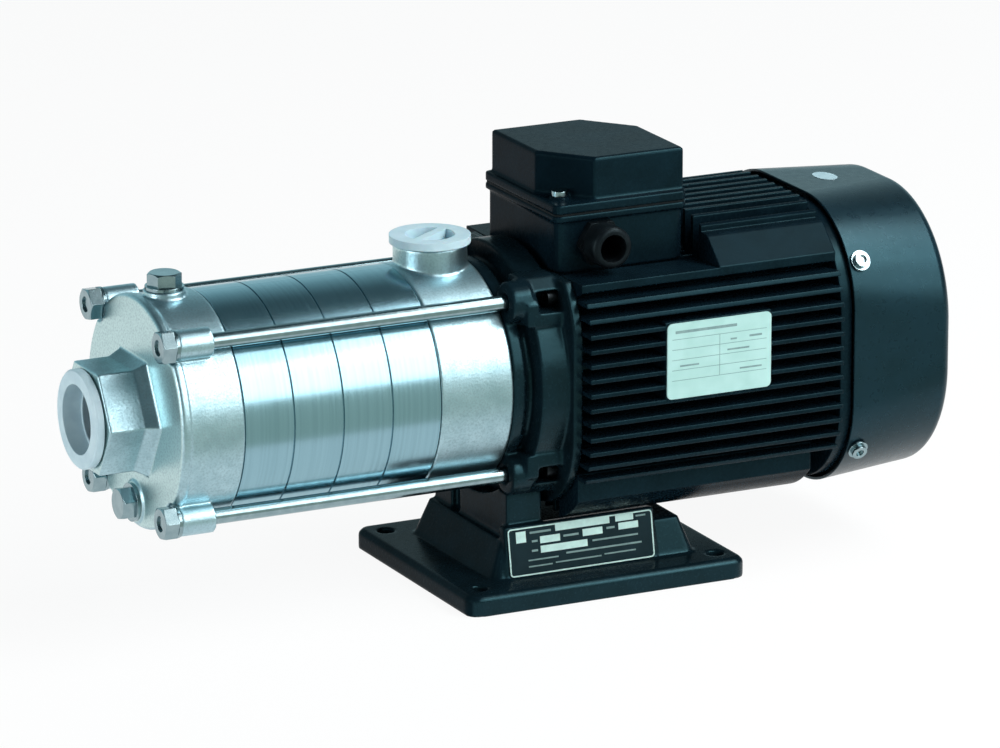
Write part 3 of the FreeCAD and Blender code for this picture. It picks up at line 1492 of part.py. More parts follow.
def pieces():
    """Every piece by its name, as one solid or a list of alike ones."""
    fill_start = vec(fill_plug_x, 0, fill_face_z)
    drain_start = vec(drain_face_x, 0, drain_plug_z)
    parts = {
        "suction_casing": suction_casing(),
        "suction_port_cap": suction_port_cap(),
        "fill_plug": plug(fill_start, -z_axis),
        "fill_plug_washer": plug_washer(fill_start, -z_axis),
        "drain_plug": plug(drain_start, x_axis),
        "drain_plug_washer": plug_washer(drain_start, x_axis),
        "neck_rings": neck_rings(),
        "guide_vanes": guide_vanes(),
        "chamber_orings": chamber_orings(),
        "discharge_casing": discharge_casing(),
        "discharge_port_cap": discharge_port_cap(),
        "seal_plate": seal_plate(),
        "seal_seat": seal_seat(),
        "seal_head": seal_head(),
        "seal_bellows": seal_bellows(),
        "impeller_nut": impeller_nut(),
        "shaft": shaft(),
        "front_bearing_outer": front_bearing(bearing_outer),
        "front_bearing_inner": front_bearing(bearing_inner),
        "front_bearing_balls": front_bearing(bearing_balls),
        "rear_bearing_outer": rear_bearing(bearing_outer),
        "rear_bearing_inner": rear_bearing(bearing_inner),
        "rear_bearing_balls": rear_bearing(bearing_balls),
        "wave_spring": wave_spring(),
        "tie_rods": tie_rods(),
        "tie_rod_nuts": tie_rod_nuts(),
        "tie_rod_washers": tie_rod_washers(),
        "bracket": bracket(),
        "pedestal": pedestal(),
        "pedestal_bolts": pedestal_bolts(),
        "pump_nameplate": pump_nameplate(),
        "motor_nameplate": motor_nameplate(),
        "motor_frame": motor_frame(),
        "motor_screws": motor_screws(),
        "stator_core": stator_core(),
        "stator_windings": stator_windings(),
        "rotor_core": rotor_core(),
        "rear_end_shield": rear_end_shield(),
        "fan": fan(),
        "fan_circlip": fan_circlip(),
        "fan_cover": fan_cover(),
        "fan_cover_screws": cover_screws(),
        "fan_cover_washers": cover_washers(),
        "terminal_box": terminal_box(),
        "terminal_box_lid": terminal_box_lid(),
        "terminal_box_gasket": terminal_box_gasket(),
        "lid_screws": lid_screws(),
        "terminal_board": terminal_board(),
        "terminal_studs": terminal_studs(),
        "cable_gland": cable_gland(),
        "gland_nut": gland_nut(),
    }
    for number in range(stage_count):
        parts["stage_chamber_" + str(number + 1)] = stage_chamber(number)
        parts["impeller_" + str(number + 1)] = impeller(number)
    return parts


os.makedirs("parts", exist_ok=True)
for name, piece in pieces().items():
    shape = Part.makeCompound(piece) if isinstance(piece, list) else piece
    shape.exportStep("parts/" + name + ".step")
    print(name, len(shape.Solids), "solids", round(shape.Volume / 1000, 2), "cm3")
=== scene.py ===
import json
import math
import bmesh
import bpy
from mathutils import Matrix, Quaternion, Vector
from mathutils.bvhtree import BVHTree


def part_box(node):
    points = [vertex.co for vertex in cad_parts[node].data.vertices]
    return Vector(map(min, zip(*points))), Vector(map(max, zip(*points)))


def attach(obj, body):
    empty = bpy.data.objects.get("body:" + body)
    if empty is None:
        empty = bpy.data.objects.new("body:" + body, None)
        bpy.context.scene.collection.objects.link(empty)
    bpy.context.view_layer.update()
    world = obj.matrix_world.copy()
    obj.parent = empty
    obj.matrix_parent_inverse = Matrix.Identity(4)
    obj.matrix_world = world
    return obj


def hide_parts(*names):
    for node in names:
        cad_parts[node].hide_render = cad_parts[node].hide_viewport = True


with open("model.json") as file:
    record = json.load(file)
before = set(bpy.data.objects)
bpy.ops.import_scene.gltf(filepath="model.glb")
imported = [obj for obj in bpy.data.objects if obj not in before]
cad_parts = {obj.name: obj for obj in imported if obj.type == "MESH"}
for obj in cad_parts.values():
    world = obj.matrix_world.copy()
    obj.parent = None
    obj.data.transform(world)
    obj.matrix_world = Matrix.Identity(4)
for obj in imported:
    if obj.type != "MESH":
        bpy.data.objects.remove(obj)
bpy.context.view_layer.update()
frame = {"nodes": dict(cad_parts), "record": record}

mm = 0.001
nodes = frame["nodes"]
slotOfNode = {part["node"]: part["material_slot"] for part in frame["record"]["subparts"]}
bodies = frame["record"]["behaviour"]["bodies"]
bodyOfNode = {node: body for body, group in bodies.items() for node in group}


# Camera at the photograph's angle

camera = {
    "azimuth": -26.38,  # degrees round the pump, 0 looks along +Y
    "elevation": 16.05,  # degrees above the floor
    "distance": 4.1006,  # metres from the target
    "target": (-0.03174, 0, 0.11602),
    "lens": 260, "sensor": 36,  # mm
    "seesTo": 50,  # metres
    "roll": 0.03,  # degrees
}


def makeCamera(c):
    data = bpy.data.cameras.new("photoCamera")
    data.lens = c["lens"]
    data.sensor_width = c["sensor"]
    data.clip_end = c["seesTo"]
    turn, lift = math.radians(c["azimuth"]), math.radians(c["elevation"])
    back = Vector((math.sin(turn) * math.cos(lift), -math.cos(turn) * math.cos(lift), math.sin(lift)))
    obj = bpy.data.objects.new("photoCamera", data)
    obj.location = Vector(c["target"]) + back * c["distance"]
    obj.rotation_mode = "QUATERNION"
    level = (-back).to_track_quat("-Z", "Y")
    obj.rotation_quaternion = level @ Quaternion((0, 0, 1), math.radians(c["roll"]))
    bpy.context.scene.collection.objects.link(obj)
    bpy.context.scene.camera = obj


makeCamera(camera)
print("camera placed")


# Materials: one recipe each, in real sizes


def linear(code):
    # sRGB hex to the linear colour that a socket takes
    parts = [int(code[i:i + 2], 16) / 255 for i in (1, 3, 5)]
    return [*(v / 12.92 if v <= 0.04045 else ((v + 0.055) / 1.055) ** 2.4 for v in parts), 1]


def addNode(tree, kind, links=None, values=None, **settings):
    # one node with its settings, its socket values and the sockets that feed it
    node = tree.nodes.new(kind)
    for name, value in settings.items():
        setattr(node, name, value)
    for socket, value in (values or {}).items():
        node.inputs[socket].default_value = value
    for socket, source in (links or {}).items():
        tree.links.new(source, node.inputs[socket])
    return node


# the shares of a noise, or the parts of a normal, over which one look fades into the other
fades = {
    "patch": (0.35, 0.65), "roughness": (0.3, 0.7), "grit": (0.45, 0.65),
    # painted light: the paler colour of the end faces fades in over this span of the normal's X
    "paintedEndLight": (-0.8, -0.97),  # the normal's X, on faces that look away from the motor
    "frontGloss": (-0.67, -0.8),  # the normal's Y, on faces that look towards -Y
}
noiseDetail = 3  # octaves in both noises
edgeSamples = 6  # rays that round an edge off in the shading

recipes = {
    # investment-cast stainless steel, bead blasted: a satin blue-grey with a fine grit that sparkles.
    # painted light, matching the photograph only: a paler colour on the end faces, so that they look more
    # brightly lit
    "beadBlastedStainless": {
        "colour": "#ABCAD3", "shade": "#9CBCC5", "patchMm": 9,
        "grainMm": 1.2, "grainDepthMm": 0.085, "roughness": (0.3, 0.42),
        "grit": ("#8AA3AB", 0.45), "paintedEndLight": "#C0DBDB",
        "edgeMm": 0.6, "sockets": {"Metallic": 1},
    },
    # stainless tube turned on a lathe: bright, with faint tool lines round it (0.2 mm, drawn at 0.7)
    "turnedStainless": {
        "colour": "#8EB3BF", "shade": "#87ACB8", "patchMm": 1.6, "patchStretch": (1, 0.01, 0.01),
        "grainMm": 0.7, "grainStretch": (1, 0.004, 0.004), "grainDepthMm": 0.0018,
        "roughness": (0.18, 0.23), "edgeMm": 0.3, "sockets": {"Metallic": 1},
    },
    # pressed stainless sheet: even satin
    "pressedStainless": {
        "colour": "#A4B8BC", "shade": "#98ACB1", "patchMm": 12,
        "grainMm": 0.8, "grainDepthMm": 0.01, "roughness": (0.28, 0.36),
        "edgeMm": 0.3, "sockets": {"Metallic": 1},
    },
    # zinc-plated steel: bright and slightly bluish, smooth
    "zincPlatedSteel": {
        "colour": "#93A9AE", "shade": "#869DA3", "patchMm": 6,
        "grainMm": 0.8, "grainDepthMm": 0.003, "roughness": (0.14, 0.2),
        "edgeMm": 0.5, "sockets": {"Metallic": 1},
    },
    # steel blackened in a salt bath: near black, with an oily shine on its edges
    "blackOxideSteel": {
        "colour": "#1B2226", "shade": "#252D31", "patchMm": 3,
        "grainMm": 0.6, "grainDepthMm": 0.004, "roughness": (0.25, 0.35),
        "edgeMm": 0.4, "sockets": {"Metallic": 0.8},
    },
    # ground carbon steel shaft: fine lines round it
    "groundSteel": {
        "colour": "#A5ADB0", "shade": "#8B9498", "patchMm": 1.6, "patchStretch": (1, 0.01, 0.01),
        "grainMm": 0.5, "grainStretch": (1, 0.02, 0.02), "grainDepthMm": 0.003,
        "roughness": (0.18, 0.28), "edgeMm": 0.3, "sockets": {"Metallic": 1},
    },
    # hardened bearing steel, polished
    "polishedSteel": {
        "colour": "#B9C0C4", "shade": "#AEB5B9", "patchMm": 8,
        "grainMm": 0.6, "grainDepthMm": 0.002, "roughness": (0.08, 0.14),
        "edgeMm": 0.2, "sockets": {"Metallic": 1},
    },
    # low-density polyethylene cap, injection moulded: milky pale blue, soft sheen
    "mouldedPolyethylene": {
        "colour": "#C2DCE5", "shade": "#B6D2DC", "patchMm": 9,
        "grainMm": 1.5, "grainDepthMm": 0.02, "roughness": (0.4, 0.5),
        "edgeMm": 0.6, "sockets": {"IOR": 1.51, "Subsurface Weight": 0.12, "Subsurface Scale": 0.002},
    },
    # the same plastic in the thin suction cap: drawn clear in its floor, so the dark port shows there
    "thinPolyethylene": {
        "colour": "#C6DCE4", "shade": "#B9D1DB", "patchMm": 9,
        "grainMm": 1.5, "grainDepthMm": 0.02, "roughness": (0.35, 0.45),
        "clearWithin": {"heightMm": 123, "fromMm": 18.4, "toMm": 17.6, "share": 0.93},
        "edgeMm": 0.6, "sockets": {"IOR": 1.51},
    },
    # filled fluoropolymer neck rings: ivory, waxy
    "mouldedFluoropolymer": {
        "colour": "#DDD6C4", "shade": "#CFC6B0", "patchMm": 6,
        "grainMm": 1, "grainDepthMm": 0.01, "roughness": (0.45, 0.55),
        "edgeMm": 0.2, "sockets": {"IOR": 1.38},
    },
    # lapped carbon graphite: near black with a dull shine
    "lappedCarbon": {
        "colour": "#2B2C2E", "shade": "#1E1F21", "patchMm": 3,
        "grainMm": 0.5, "grainDepthMm": 0.004, "roughness": (0.3, 0.4),
        "edgeMm": 0.2, "sockets": {"IOR": 1.9},
    },
    # moulded nitrile rubber: black, dull
    "mouldedNitrile": {
        "colour": "#0C1215", "shade": "#12191C", "patchMm": 5,
        "grainMm": 0.6, "grainDepthMm": 0.02, "roughness": (0.6, 0.75),
        "edgeMm": 0.2, "sockets": {"IOR": 1.2},
    },
    # alkyd enamel sprayed over sand-cast iron: black with a teal cast; the casting shows faintly.
    # frontGloss matches the photograph only: more gloss on faces that look towards -Y than elsewhere
    "enamelOverCasting": {
        "colour": "#0A161B", "shade": "#0D1C23", "patchMm": 16,
        "grainMm": 2.2, "grainDepthMm": 0.03, "roughness": (0.2, 0.3),
        "frontGloss": {"elsewhere": 0.022, "front": 0.26},
        "edgeMm": 1.0, "sockets": {"Specular Tint": (0.32, 0.85, 1, 1)},
    },
    # the same enamel over die-cast and extruded aluminium: smoother
    "enamelOverDieCasting": {
        "colour": "#07131A", "shade": "#0A1921", "patchMm": 20,
        "grainMm": 2.4, "grainDepthMm": 0.01, "roughness": (0.22, 0.32),
        "frontGloss": {"elsewhere": 0.021, "front": 0.15},
        "edgeMm": 1.1, "sockets": {"Specular Tint": (0.3, 0.85, 1, 1)},
    },
    # the same enamel on drawn sheet steel: the smoothest, with a faint orange peel
    "enamelOverSheet": {
        "colour": "#08151C", "shade": "#0B1B24", "patchMm": 30,
        "grainMm": 4, "grainDepthMm": 0.006, "roughness": (0.26, 0.32),
        "edgeMm": 0.8, "sockets": {"Specular IOR Level": 0.42, "Specular Tint": (0.3, 0.82, 1, 1)},
    },
    # clear-anodised aluminium plate: pale mint under the photograph's light
    "anodisedPlate": {
        "colour": "#AAD0CC", "shade": "#A0C8C3", "patchMm": 14,
        "grainMm": 0.5, "grainStretch": (0.04, 1, 1), "grainDepthMm": 0.002, "roughness": (0.45, 0.55),
        "edgeMm": 0.2, "sockets": {"Metallic": 0.1},
    },
    # black-anodised aluminium plate: deep satin black
    "blackAnodisedPlate": {
        "colour": "#0C1519", "shade": "#121E23", "patchMm": 14,
        "grainMm": 0.5, "grainStretch": (0.04, 1, 1), "grainDepthMm": 0.002, "roughness": (0.3, 0.4),
        "edgeMm": 0.2, "sockets": {"Specular IOR Level": 0.3, "Specular Tint": (0.42, 0.82, 1, 1)},
    },
    # screen-printed pale ink on the pump's plate
    "paleInk": {
        "colour": "#C6E8E1", "shade": "#BADCD6", "patchMm": 3,
        "grainMm": 0.4, "grainDepthMm": 0.003, "roughness": (0.5, 0.6),
        "edgeMm": 0.1, "sockets": {"IOR": 1.5},
    },
    # thinned grey ink: the faint rules on both plates
    "greyInk": {
        "colour": "#6C8A8A", "shade": "#7A9896", "patchMm": 3,
        "grainMm": 0.4, "grainDepthMm": 0.003, "roughness": (0.5, 0.6),
        "edgeMm": 0.1, "sockets": {"IOR": 1.5},
    },
    # vinyl label on the fan cover: pale blue-grey, slightly glossy
    "vinylLabel": {
        "colour": "#A9C3CC", "shade": "#9DB8C2", "patchMm": 5,
        "grainMm": 1, "grainDepthMm": 0.004, "roughness": (0.3, 0.4),
        "edgeMm": 0.1, "sockets": {"IOR": 1.5},
    },
    # laminated electrical steel: dark, with the sheet edges as fine rings (0.5 mm sheets)
    "laminatedSteel": {
        "colour": "#6A6C6E", "shade": "#48494B", "patchMm": 0.5, "patchStretch": (1, 0.02, 0.02),
        "grainMm": 0.5, "grainStretch": (1, 0.02, 0.02), "grainDepthMm": 0.03, "roughness": (0.4, 0.55),
        "edgeMm": 0.2, "sockets": {"Metallic": 1},
    },
    # enamelled copper wire under varnish: red-brown strands that run round the end turns
    "varnishedCopper": {
        "colour": "#A5542C", "shade": "#7A3A1E", "patchMm": 1, "patchStretch": (1, 0.2, 0.2),
        "grainMm": 1, "grainStretch": (1, 0.2, 0.2), "grainDepthMm": 0.15, "roughness": (0.25, 0.4),
        "edgeMm": 0.5, "sockets": {"Metallic": 0.6, "Coat Weight": 0.5},
    },
    # phenolic moulding: dark brown, semi-gloss
    "mouldedPhenolic": {
        "colour": "#3A2C25", "shade": "#2D221D", "patchMm": 3,
        "grainMm": 0.8, "grainDepthMm": 0.01, "roughness": (0.35, 0.45),
        "edgeMm": 0.4, "sockets": {"IOR": 1.6},
    },
    # turned brass studs: bright yellow
    "turnedBrass": {
        "colour": "#C9A765", "shade": "#A98748", "patchMm": 2,
        "grainMm": 0.5, "grainStretch": (0.05, 0.05, 1), "grainDepthMm": 0.01, "roughness": (0.25, 0.35),
        "edgeMm": 0.2, "sockets": {"Metallic": 1},
    },
    # glass-filled nylon: black, fine matt texture
    "mouldedNylon": {
        "colour": "#0B0F12", "shade": "#12171A", "patchMm": 6,
        "grainMm": 0.7, "grainDepthMm": 0.01, "roughness": (0.3, 0.4),
        "edgeMm": 0.6, "sockets": {"Specular IOR Level": 0.12, "Specular Tint": (0.6, 0.9, 1, 1)},
    },
}


def span(low, high, toLow=0, toHigh=1):
    return {"From Min": low, "From Max": high, "To Min": toLow, "To Max": toHigh}


def makeMaterial(name, c):
    made = bpy.data.materials.new(name)
    made.use_nodes = True
    tree = made.node_tree
    tree.nodes.clear()
    coords = addNode(tree, "ShaderNodeTexCoord")
    place = coords.outputs["Object"]
    facing = addNode(tree, "ShaderNodeSeparateXYZ", {0: coords.outputs["Normal"]})
    noises = {}
    for kind in ("patch", "grain"):
        scale = [stretch / (c[kind + "Mm"] * mm) for stretch in c.get(kind + "Stretch", (1, 1, 1))]
        moved = addNode(tree, "ShaderNodeMapping", {"Vector": place}, {"Scale": scale})
        noises[kind] = addNode(tree, "ShaderNodeTexNoise", {"Vector": moved.outputs["Vector"]},
                               {"Scale": 1, "Detail": noiseDetail}).outputs["Fac"]
    mixing = addNode(tree, "ShaderNodeMapRange", {"Value": noises["patch"]}, span(*fades["patch"]))
    colour = addNode(tree, "ShaderNodeMix", {0: mixing.outputs["Result"]},
                     {6: linear(c["colour"]), 7: linear(c["shade"])}, data_type="RGBA").outputs[2]
    # painted light: faces that look away from the motor get a paler colour, so that they look more brightly
    # lit
    if "paintedEndLight" in c:
        paintedEndLightShare = addNode(tree, "ShaderNodeMapRange", {"Value": facing.outputs["X"]},
                          span(*fades["paintedEndLight"]))
        colour = addNode(tree, "ShaderNodeMix", {0: paintedEndLightShare.outputs["Result"], 6: colour},
                         {7: linear(c["paintedEndLight"])}, data_type="RGBA").outputs[2]
    if "grit" in c:
        gritColour, share = c["grit"]
        spots = addNode(tree, "ShaderNodeMapRange", {"Value": noises["grain"]},
                        span(*fades["grit"], 0, share))
        colour = addNode(tree, "ShaderNodeMix", {0: spots.outputs["Result"], 6: colour},
                         {7: linear(gritColour)}, data_type="RGBA").outputs[2]
    rough = addNode(tree, "ShaderNodeMapRange", {"Value": noises["grain"]},
                    span(*fades["roughness"], *c["roughness"]))
    edge = addNode(tree, "ShaderNodeBevel", values={"Radius": c["edgeMm"] * mm}, samples=edgeSamples)
    bump = addNode(tree, "ShaderNodeBump", {"Height": noises["grain"], "Normal": edge.outputs["Normal"]},
                   {"Strength": 1, "Distance": c["grainDepthMm"] * mm})
    shader = addNode(tree, "ShaderNodeBsdfPrincipled", {
        "Base Color": colour, "Roughness": rough.outputs["Result"], "Normal": bump.outputs["Normal"],
    }, c["sockets"])
    if "frontGloss" in c:
        level = addNode(tree, "ShaderNodeMapRange", {"Value": facing.outputs["Y"]},
                        span(*fades["frontGloss"], c["frontGloss"]["elsewhere"], c["frontGloss"]["front"]))
        tree.links.new(level.outputs["Result"], shader.inputs["Specular IOR Level"])
    if "clearWithin" in c:
        ring = c["clearWithin"]
        parts = addNode(tree, "ShaderNodeSeparateXYZ", {0: place})
        across = addNode(tree, "ShaderNodeCombineXYZ",
                         {"Y": parts.outputs["Y"], "Z": parts.outputs["Z"]})
        shaftLine = (0, 0, ring["heightMm"] * mm)
        radius = addNode(tree, "ShaderNodeVectorMath", {0: across.outputs[0]}, {1: shaftLine},
                         operation="DISTANCE")
        clear = addNode(tree, "ShaderNodeMapRange", {"Value": radius.outputs["Value"]},
                        span(ring["fromMm"] * mm, ring["toMm"] * mm, 0, ring["share"]))
        tree.links.new(clear.outputs["Result"], shader.inputs["Transmission Weight"])
    addNode(tree, "ShaderNodeOutputMaterial", {"Surface": shader.outputs["BSDF"]})
    return made


materials = {name: makeMaterial(name, recipe) for name, recipe in recipes.items()}
materialOfSlot = {
    "cast_stainless": "beadBlastedStainless", "turned_stainless": "turnedStainless",
    "pressed_stainless": "pressedStainless", "plated_steel": "zincPlatedSteel",
    "shaft_steel": "groundSteel", "bearing_steel": "polishedSteel", "cap_plastic": "mouldedPolyethylene",
    "ring_plastic": "mouldedFluoropolymer", "seal_carbon": "lappedCarbon",
    "seal_rubber": "mouldedNitrile",
    "black_cast_iron": "enamelOverCasting", "black_aluminium": "enamelOverDieCasting",
    "black_sheet_steel": "enamelOverSheet", "plate_metal": "anodisedPlate",
    "black_plate": "blackAnodisedPlate", "blackened_steel": "blackOxideSteel",
    "core_steel": "laminatedSteel", "winding_copper": "varnishedCopper",
    "board_plastic": "mouldedPhenolic", "stud_brass": "turnedBrass",
    "fan_plastic": "mouldedNylon", "gland_plastic": "mouldedNylon",
}


def wear(obj, name):
    obj.data.materials.clear()
    obj.data.materials.append(materials[name])


materialOfNode = {"suction_port_cap": "thinPolyethylene"}  # in place of its slot's material
for nodeName, obj in nodes.items():
    wear(obj, materialOfNode.get(nodeName) or materialOfSlot[slotOfNode[nodeName]])
print("materials made and given to", len(nodes), "nodes")


# Castings with soft corners: the solid's own mesh, melted a little at its edges

smoothing = 0.5  # how far one pass moves a point towards its neighbours
softCastings = {
    "suction_casing": {"voxelMm": 0.75, "passes": 3},
    "discharge_casing": {"voxelMm": 0.8, "passes": 4},
    "bracket": {"voxelMm": 0.9, "passes": 6},
    "pedestal": {"voxelMm": 0.9, "passes": 5},
    "terminal_box": {"voxelMm": 0.8, "passes": 3},
    "terminal_box_lid": {"voxelMm": 0.8, "passes": 4},
}


def addPiece(name, mesh, body, material):
    obj = bpy.data.objects.new(name, mesh)
    bpy.context.scene.collection.objects.link(obj)
    wear(obj, material)
    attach(obj, body)
    return obj


def softCasting(nodeName, c):
    source = nodes[nodeName]
    copy = bpy.data.objects.new("casting", source.data.copy())
    bpy.context.scene.collection.objects.link(copy)
    remesh = copy.modifiers.new("remesh", "REMESH")
    remesh.mode = "VOXEL"
    remesh.voxel_size = c["voxelMm"] * mm
    smooth = copy.modifiers.new("smooth", "SMOOTH")
    smooth.factor = smoothing
    smooth.iterations = c["passes"]
    mesh = bpy.data.meshes.new_from_object(copy.evaluated_get(bpy.context.evaluated_depsgraph_get()))
    bpy.data.objects.remove(copy)
    for face in mesh.polygons:
        face.use_smooth = True
    slotName = slotOfNode[nodeName]
    obj = addPiece(nodeName + "Cast", mesh, bodyOfNode[nodeName], materialOfSlot[slotName])
    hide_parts(nodeName)
    print("soft casting", nodeName, len(mesh.polygons), "faces")


for nodeName, settings in softCastings.items():
    softCasting(nodeName, settings)


# Printed and stuck-on flat things: a thin shape laid on the surface that carries it

def surfaceOf(nodeName):
    mesh = bmesh.new()
    mesh.from_mesh(nodes[nodeName].data)
    tree = BVHTree.FromBMesh(mesh)
    mesh.free()
    return tree


def ovalPoints(c):
    turns = [math.tau * i / c["steps"] for i in range(c["steps"])]
    return [(c["across"] / 2 * math.cos(t), c["along"] / 2 * math.sin(t)) for t in turns]


def flatPlate(nodeName):
    # the plate's outer plane: its low left corner, its three directions, and its width and height
    obj = nodes[nodeName]
    points = [v.co for v in obj.data.vertices]
    outward = max(obj.data.polygons, key=lambda face: face.area * (face.normal.y < 0)).normal.copy()
    along = Vector((1, 0, 0))
    up = outward.cross(along)
    reach = [[p.dot(axis) for p in points] for axis in (along, up, outward)]
    corner = along * min(reach[0]) + up * min(reach[1]) + outward * max(reach[2])
    return corner, along, up, outward, max(reach[0]) - min(reach[0]), max(reach[1]) - min(reach[1])


def makePrint(name, c):
    corner, along, up, outward, width, height = flatPlate(c["on"])
    mesh = bmesh.new()
    lift = c["thickMm"] * mm

    def addSlab(outline):
        low = [mesh.verts.new(corner + along * x * mm + up * y * mm) for x, y in outline]
        high = [mesh.verts.new(vert.co + outward * lift) for vert in low]
        mesh.faces.new(high)
        mesh.faces.new(low[::-1])
        for i in range(len(low)):
            after = (i + 1) % len(low)
            mesh.faces.new((low[i], low[after], high[after], high[i]))

    for x0, y0, x1, y1 in c["fields"]:
        addSlab([(x0, y0), (x1, y0), (x1, y1), (x0, y1)])
    if "border" in c:
        line, turn, steps = c["border"]["lineMm"], c["border"]["cornerMm"], c["border"]["cornerSteps"]
        near = c["border"]["insetMm"] + turn
        far = (width / mm - near, height / mm - near)
        inner, outer = [], []
        for quarter, (x, y) in enumerate((far, (near, far[1]), (near, near), (far[0], near))):
            for i in range(steps + 1):
                angle = math.pi / 2 * (quarter + i / steps)
                for loop, radius in ((outer, turn), (inner, turn - line)):
                    loop.append((x + radius * math.cos(angle), y + radius * math.sin(angle)))
        for i in range(len(outer)):
            after = (i + 1) % len(outer)
            addSlab([inner[i], outer[i], outer[after], inner[after]])
    bmesh.ops.recalc_face_normals(mesh, faces=mesh.faces)
    data = bpy.data.meshes.new(name)
    mesh.to_mesh(data)
    mesh.free()
    addPiece(name, data, "pump", c["ink"])


fanLabel = {
    "middle": (0.179, 0.003), "across": 0.013, "along": 0.019,  # metres
    "rings": 6, "steps": 64, "thickMm": 0.15,
    "solidShare": 0.8,  # of thickMm, its top's height: its underside stays just clear of the cover
    "fromAbove": 0.01,  # metres over the cover, from where its points are dropped
}


def makeFanLabel(c):
    down = Vector((0, 0, -1))
    mesh = bmesh.new()
    surface = surfaceOf("fan_cover")
    start = Vector((*c["middle"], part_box("fan_cover")[1].z + c["fromAbove"]))

    def lay(x, y):
        hit = surface.ray_cast(start + Vector((x, y, 0)), down)[0]
        return mesh.verts.new(hit - down * c["thickMm"] * mm)

    centre = lay(0, 0)
    inner = None
    for ring in range(1, c["rings"] + 1):
        share = ring / c["rings"]
        loop = [lay(x * share, y * share) for x, y in ovalPoints(c)]
        for i, vert in enumerate(loop):
            after = (i + 1) % len(loop)
            mesh.faces.new((centre, vert, loop[after]) if inner is None else
                           (inner[i], vert, loop[after], inner[after]))
        inner = loop
    data = bpy.data.meshes.new("fanLabel")
    mesh.to_mesh(data)
    mesh.free()
    obj = addPiece("fanLabel", data, "pump", "vinylLabel")
    thick = obj.modifiers.new("thickness", "SOLIDIFY")
    thick.thickness = c["thickMm"] * c["solidShare"] * mm
    thick.offset = -1


makeFanLabel(fanLabel)
print("label laid on the fan cover")


# Bare fields in the places of the words: left, low, right and high, in mm from the plate's low
# left corner

pumpPrint = {
    "on": "pump_nameplate", "ink": "paleInk", "thickMm": 0.08,
    "border": {"insetMm": 0.2, "lineMm": 0.8, "cornerMm": 2.2, "cornerSteps": 5},
    "fields": [
        (5.2, 19.2, 11.4, 25.6),  # square on the left
        (30.2, 23.2, 64.6, 27.0), (68.4, 23.4, 79.8, 27.2),  # top row
        (20.2, 17.4, 32.8, 21.4), (47.2, 17.9, 59.8, 21.9), (70.0, 18.6, 82.6, 22.4),  # second row
        (20.2, 12.0, 49.8, 16.0),  # third row
    ],
}
pumpRules = {
    "on": "pump_nameplate", "ink": "greyInk", "thickMm": 0.06,
    "fields": [
        (14, 23.6, 27.4, 24.8), (81.4, 24.6, 87.6, 25.6),  # beside the top row
        (15, 18.6, 18.6, 19.8), (35, 19.2, 44.6, 20.4), (62.4, 20, 67.6, 21.2),  # beside the second row
        (14.6, 13.2, 18.4, 14.4), (53, 14.2, 82, 15.2),  # beside the third row
        (12, 8.2, 31, 9), (36, 9.4, 84, 10.4),  # fourth row
        (12, 4.6, 27, 5.4), (29, 5, 58, 5.8), (60, 5.6, 80, 6.4),  # lowest row
    ],
}
motorPrint = {
    "on": "motor_nameplate", "ink": "greyInk", "thickMm": 0.06,
    "fields": [(3, y, 63, y + 0.3) for y in (34.5, 28.5, 22.5, 16.5, 10.5)] + [
        (33, 10.5, 33.3, 34.5), (5, 38, 44, 39.6),  # the middle rule and the title's place
        (40, 30.4, 44, 31.4), (52, 30.8, 60, 32), (38, 24.4, 52, 25.4),  # entries in the rows
        (8, 18.4, 20, 19.4), (46, 12.6, 60, 13.6),
    ],
}
makePrint("pumpPlatePrint", pumpPrint)
makePrint("pumpPlateRules", pumpRules)
makePrint("motorPlatePrint", motorPrint)
print("plates printed")


# Floor, dim studio and softboxes

studio = {
    "floor": "#F4F7F7", "floorSize": 40,  # metres
    "floorGlow": 0.92,  # the share of plain white in the floor where it is seen
    "sky": "#4B5E63",  # the dim studio round and above
    "backWall": "#B4D8DF",  # the pale wall behind the pump, low down
    "backWallFrom": (0.15, 0.6),  # fades in over this share of the direction towards +Y
    "backWallTop": (0.8, 0.35),  # and out over this share of the direction up
    # each lamp: where it stands, where it points, its size in metres and its strength in watts
    "lamps": {
        "frontSoftbox": ((0.9, -1.6, 1.05), (0, 0, 0.12), (1.8, 1.25), 26),
        "leftPanel": ((-1.75, -0.3, 0.5), (-0.2, 0, 0.12), (0.8, 0.8), 11),
        "upperPanel": ((0.9, -0.93, 1.72), (0.2, 0, 0.12), (1.8, 0.6), 6.5),
        "motorStrip": ((0.885, -0.54, 1.36), (0.885, 0, 0.12), (0.63, 1.25), 22),
    },
    # a pale green-grey card in front, seen only in reflections: the soft stripe along the barrel
    # its reach in X, then Y and Z of its near and far edges, in metres
    "card": {"x": (-0.9, 1.6), "near": (-0.23, 0.002), "far": (-1.0, 0.33), "colour": "#C3CEC4"},
}


def makeWorld(c):
    world = bpy.data.worlds.new("studioWorld")
    bpy.context.scene.world = world
    world.use_nodes = True
    tree = world.node_tree
    tree.nodes.clear()
    towards = addNode(tree, "ShaderNodeTexCoord").outputs["Generated"]
    parts = addNode(tree, "ShaderNodeSeparateXYZ", {0: towards})
    back = addNode(tree, "ShaderNodeMapRange", {"Value": parts.outputs["Y"]}, span(*c["backWallFrom"]))
    low = addNode(tree, "ShaderNodeMapRange", {"Value": parts.outputs["Z"]}, span(*c["backWallTop"]))
    wall = addNode(tree, "ShaderNodeMath", {0: back.outputs["Result"], 1: low.outputs["Result"]},
                   operation="MULTIPLY")
    colour = addNode(tree, "ShaderNodeMix", {0: wall.outputs[0]},
                     {6: linear(c["sky"]), 7: linear(c["backWall"])}, data_type="RGBA")
    lit = addNode(tree, "ShaderNodeBackground", {"Color": colour.outputs[2]}, {"Strength": 1})
    addNode(tree, "ShaderNodeOutputWorld", {"Surface": lit.outputs[0]})


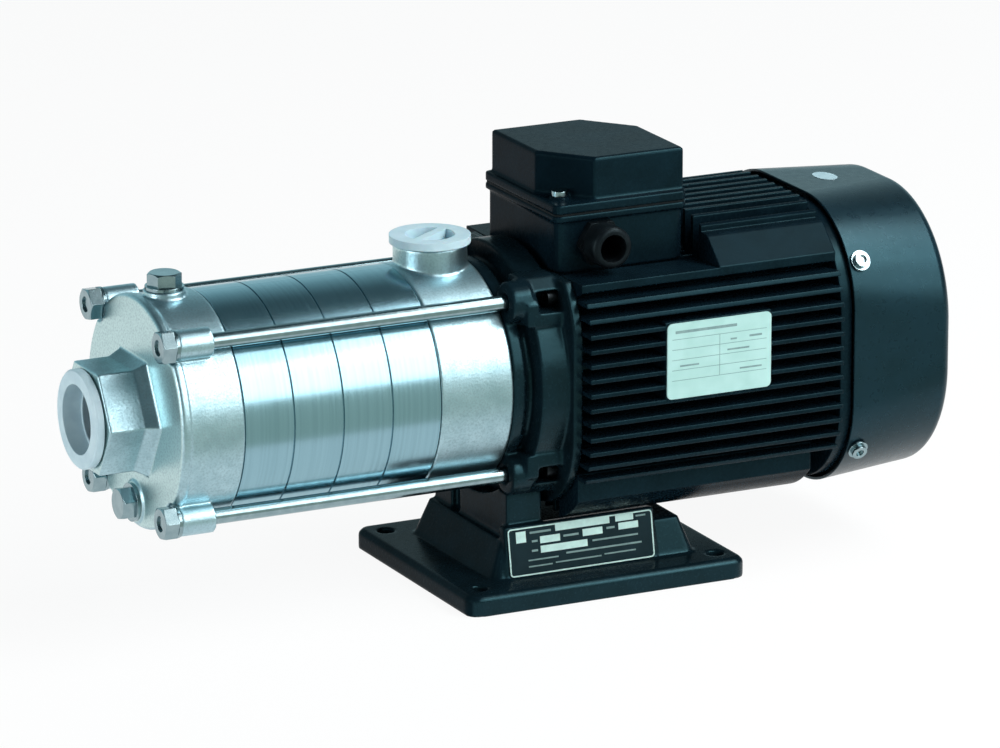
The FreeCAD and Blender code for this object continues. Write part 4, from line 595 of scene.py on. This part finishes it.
def makeFloor(c):
    half = c["floorSize"] / 2
    data = bpy.data.meshes.new("studioFloor")
    corners = [(-half, -half, 0), (half, -half, 0), (half, half, 0), (-half, half, 0)]
    data.from_pydata(corners, [], [(0, 1, 2, 3)])
    floor = bpy.data.objects.new("studioFloor", data)
    bpy.context.scene.collection.objects.link(floor)
    made = bpy.data.materials.new("paintedFloor")
    made.use_nodes = True
    tree = made.node_tree
    tree.nodes.clear()
    paint = addNode(tree, "ShaderNodeBsdfDiffuse", values={"Color": linear(c["floor"])})
    white = addNode(tree, "ShaderNodeEmission", values={"Color": (1, 1, 1, 1), "Strength": 1})
    path = addNode(tree, "ShaderNodeLightPath")
    seen = addNode(tree, "ShaderNodeMath",
                   {0: path.outputs["Is Camera Ray"], 1: path.outputs["Is Glossy Ray"]}, operation="MAXIMUM")
    seen = addNode(tree, "ShaderNodeMath", {0: seen.outputs[0], 1: path.outputs["Is Transmission Ray"]},
                   operation="MAXIMUM")
    share = addNode(tree, "ShaderNodeMath", {0: seen.outputs[0]}, {1: c["floorGlow"]},
                    operation="MULTIPLY")
    surface = addNode(tree, "ShaderNodeMixShader",
                      {0: share.outputs[0], 1: paint.outputs[0], 2: white.outputs[0]})
    addNode(tree, "ShaderNodeOutputMaterial", {"Surface": surface.outputs[0]})
    data.materials.append(made)


def makeCard(c):
    left, right = c["x"]
    corners = [(left, *c["near"]), (right, *c["near"]), (right, *c["far"]), (left, *c["far"])]
    data = bpy.data.meshes.new("reflectionCard")
    data.from_pydata(corners, [], [(0, 1, 2, 3)])
    card = bpy.data.objects.new("reflectionCard", data)
    bpy.context.scene.collection.objects.link(card)
    card.visible_camera = card.visible_diffuse = card.visible_transmission = card.visible_shadow = False
    made = bpy.data.materials.new("paintedCard")
    made.use_nodes = True
    made.node_tree.nodes.clear()
    glow = addNode(made.node_tree, "ShaderNodeEmission",
                   values={"Color": linear(c["colour"]), "Strength": 1})
    addNode(made.node_tree, "ShaderNodeOutputMaterial", {"Surface": glow.outputs[0]})
    data.materials.append(made)


def makeLamp(name, at, towards, size, watts):
    data = bpy.data.lights.new(name, "AREA")
    data.shape = "RECTANGLE"
    data.size, data.size_y = size
    data.energy = watts
    lamp = bpy.data.objects.new(name, data)
    bpy.context.scene.collection.objects.link(lamp)
    lamp.location = at
    lamp.rotation_mode = "QUATERNION"
    lamp.rotation_quaternion = (Vector(towards) - Vector(at)).to_track_quat("-Z", "Y")


makeWorld(studio)
makeFloor(studio)
makeCard(studio["card"])
for lampName, lampSettings in studio["lamps"].items():
    makeLamp(lampName, *lampSettings)
bpy.context.scene.view_settings.view_transform = "Standard"
print("floor and light made")
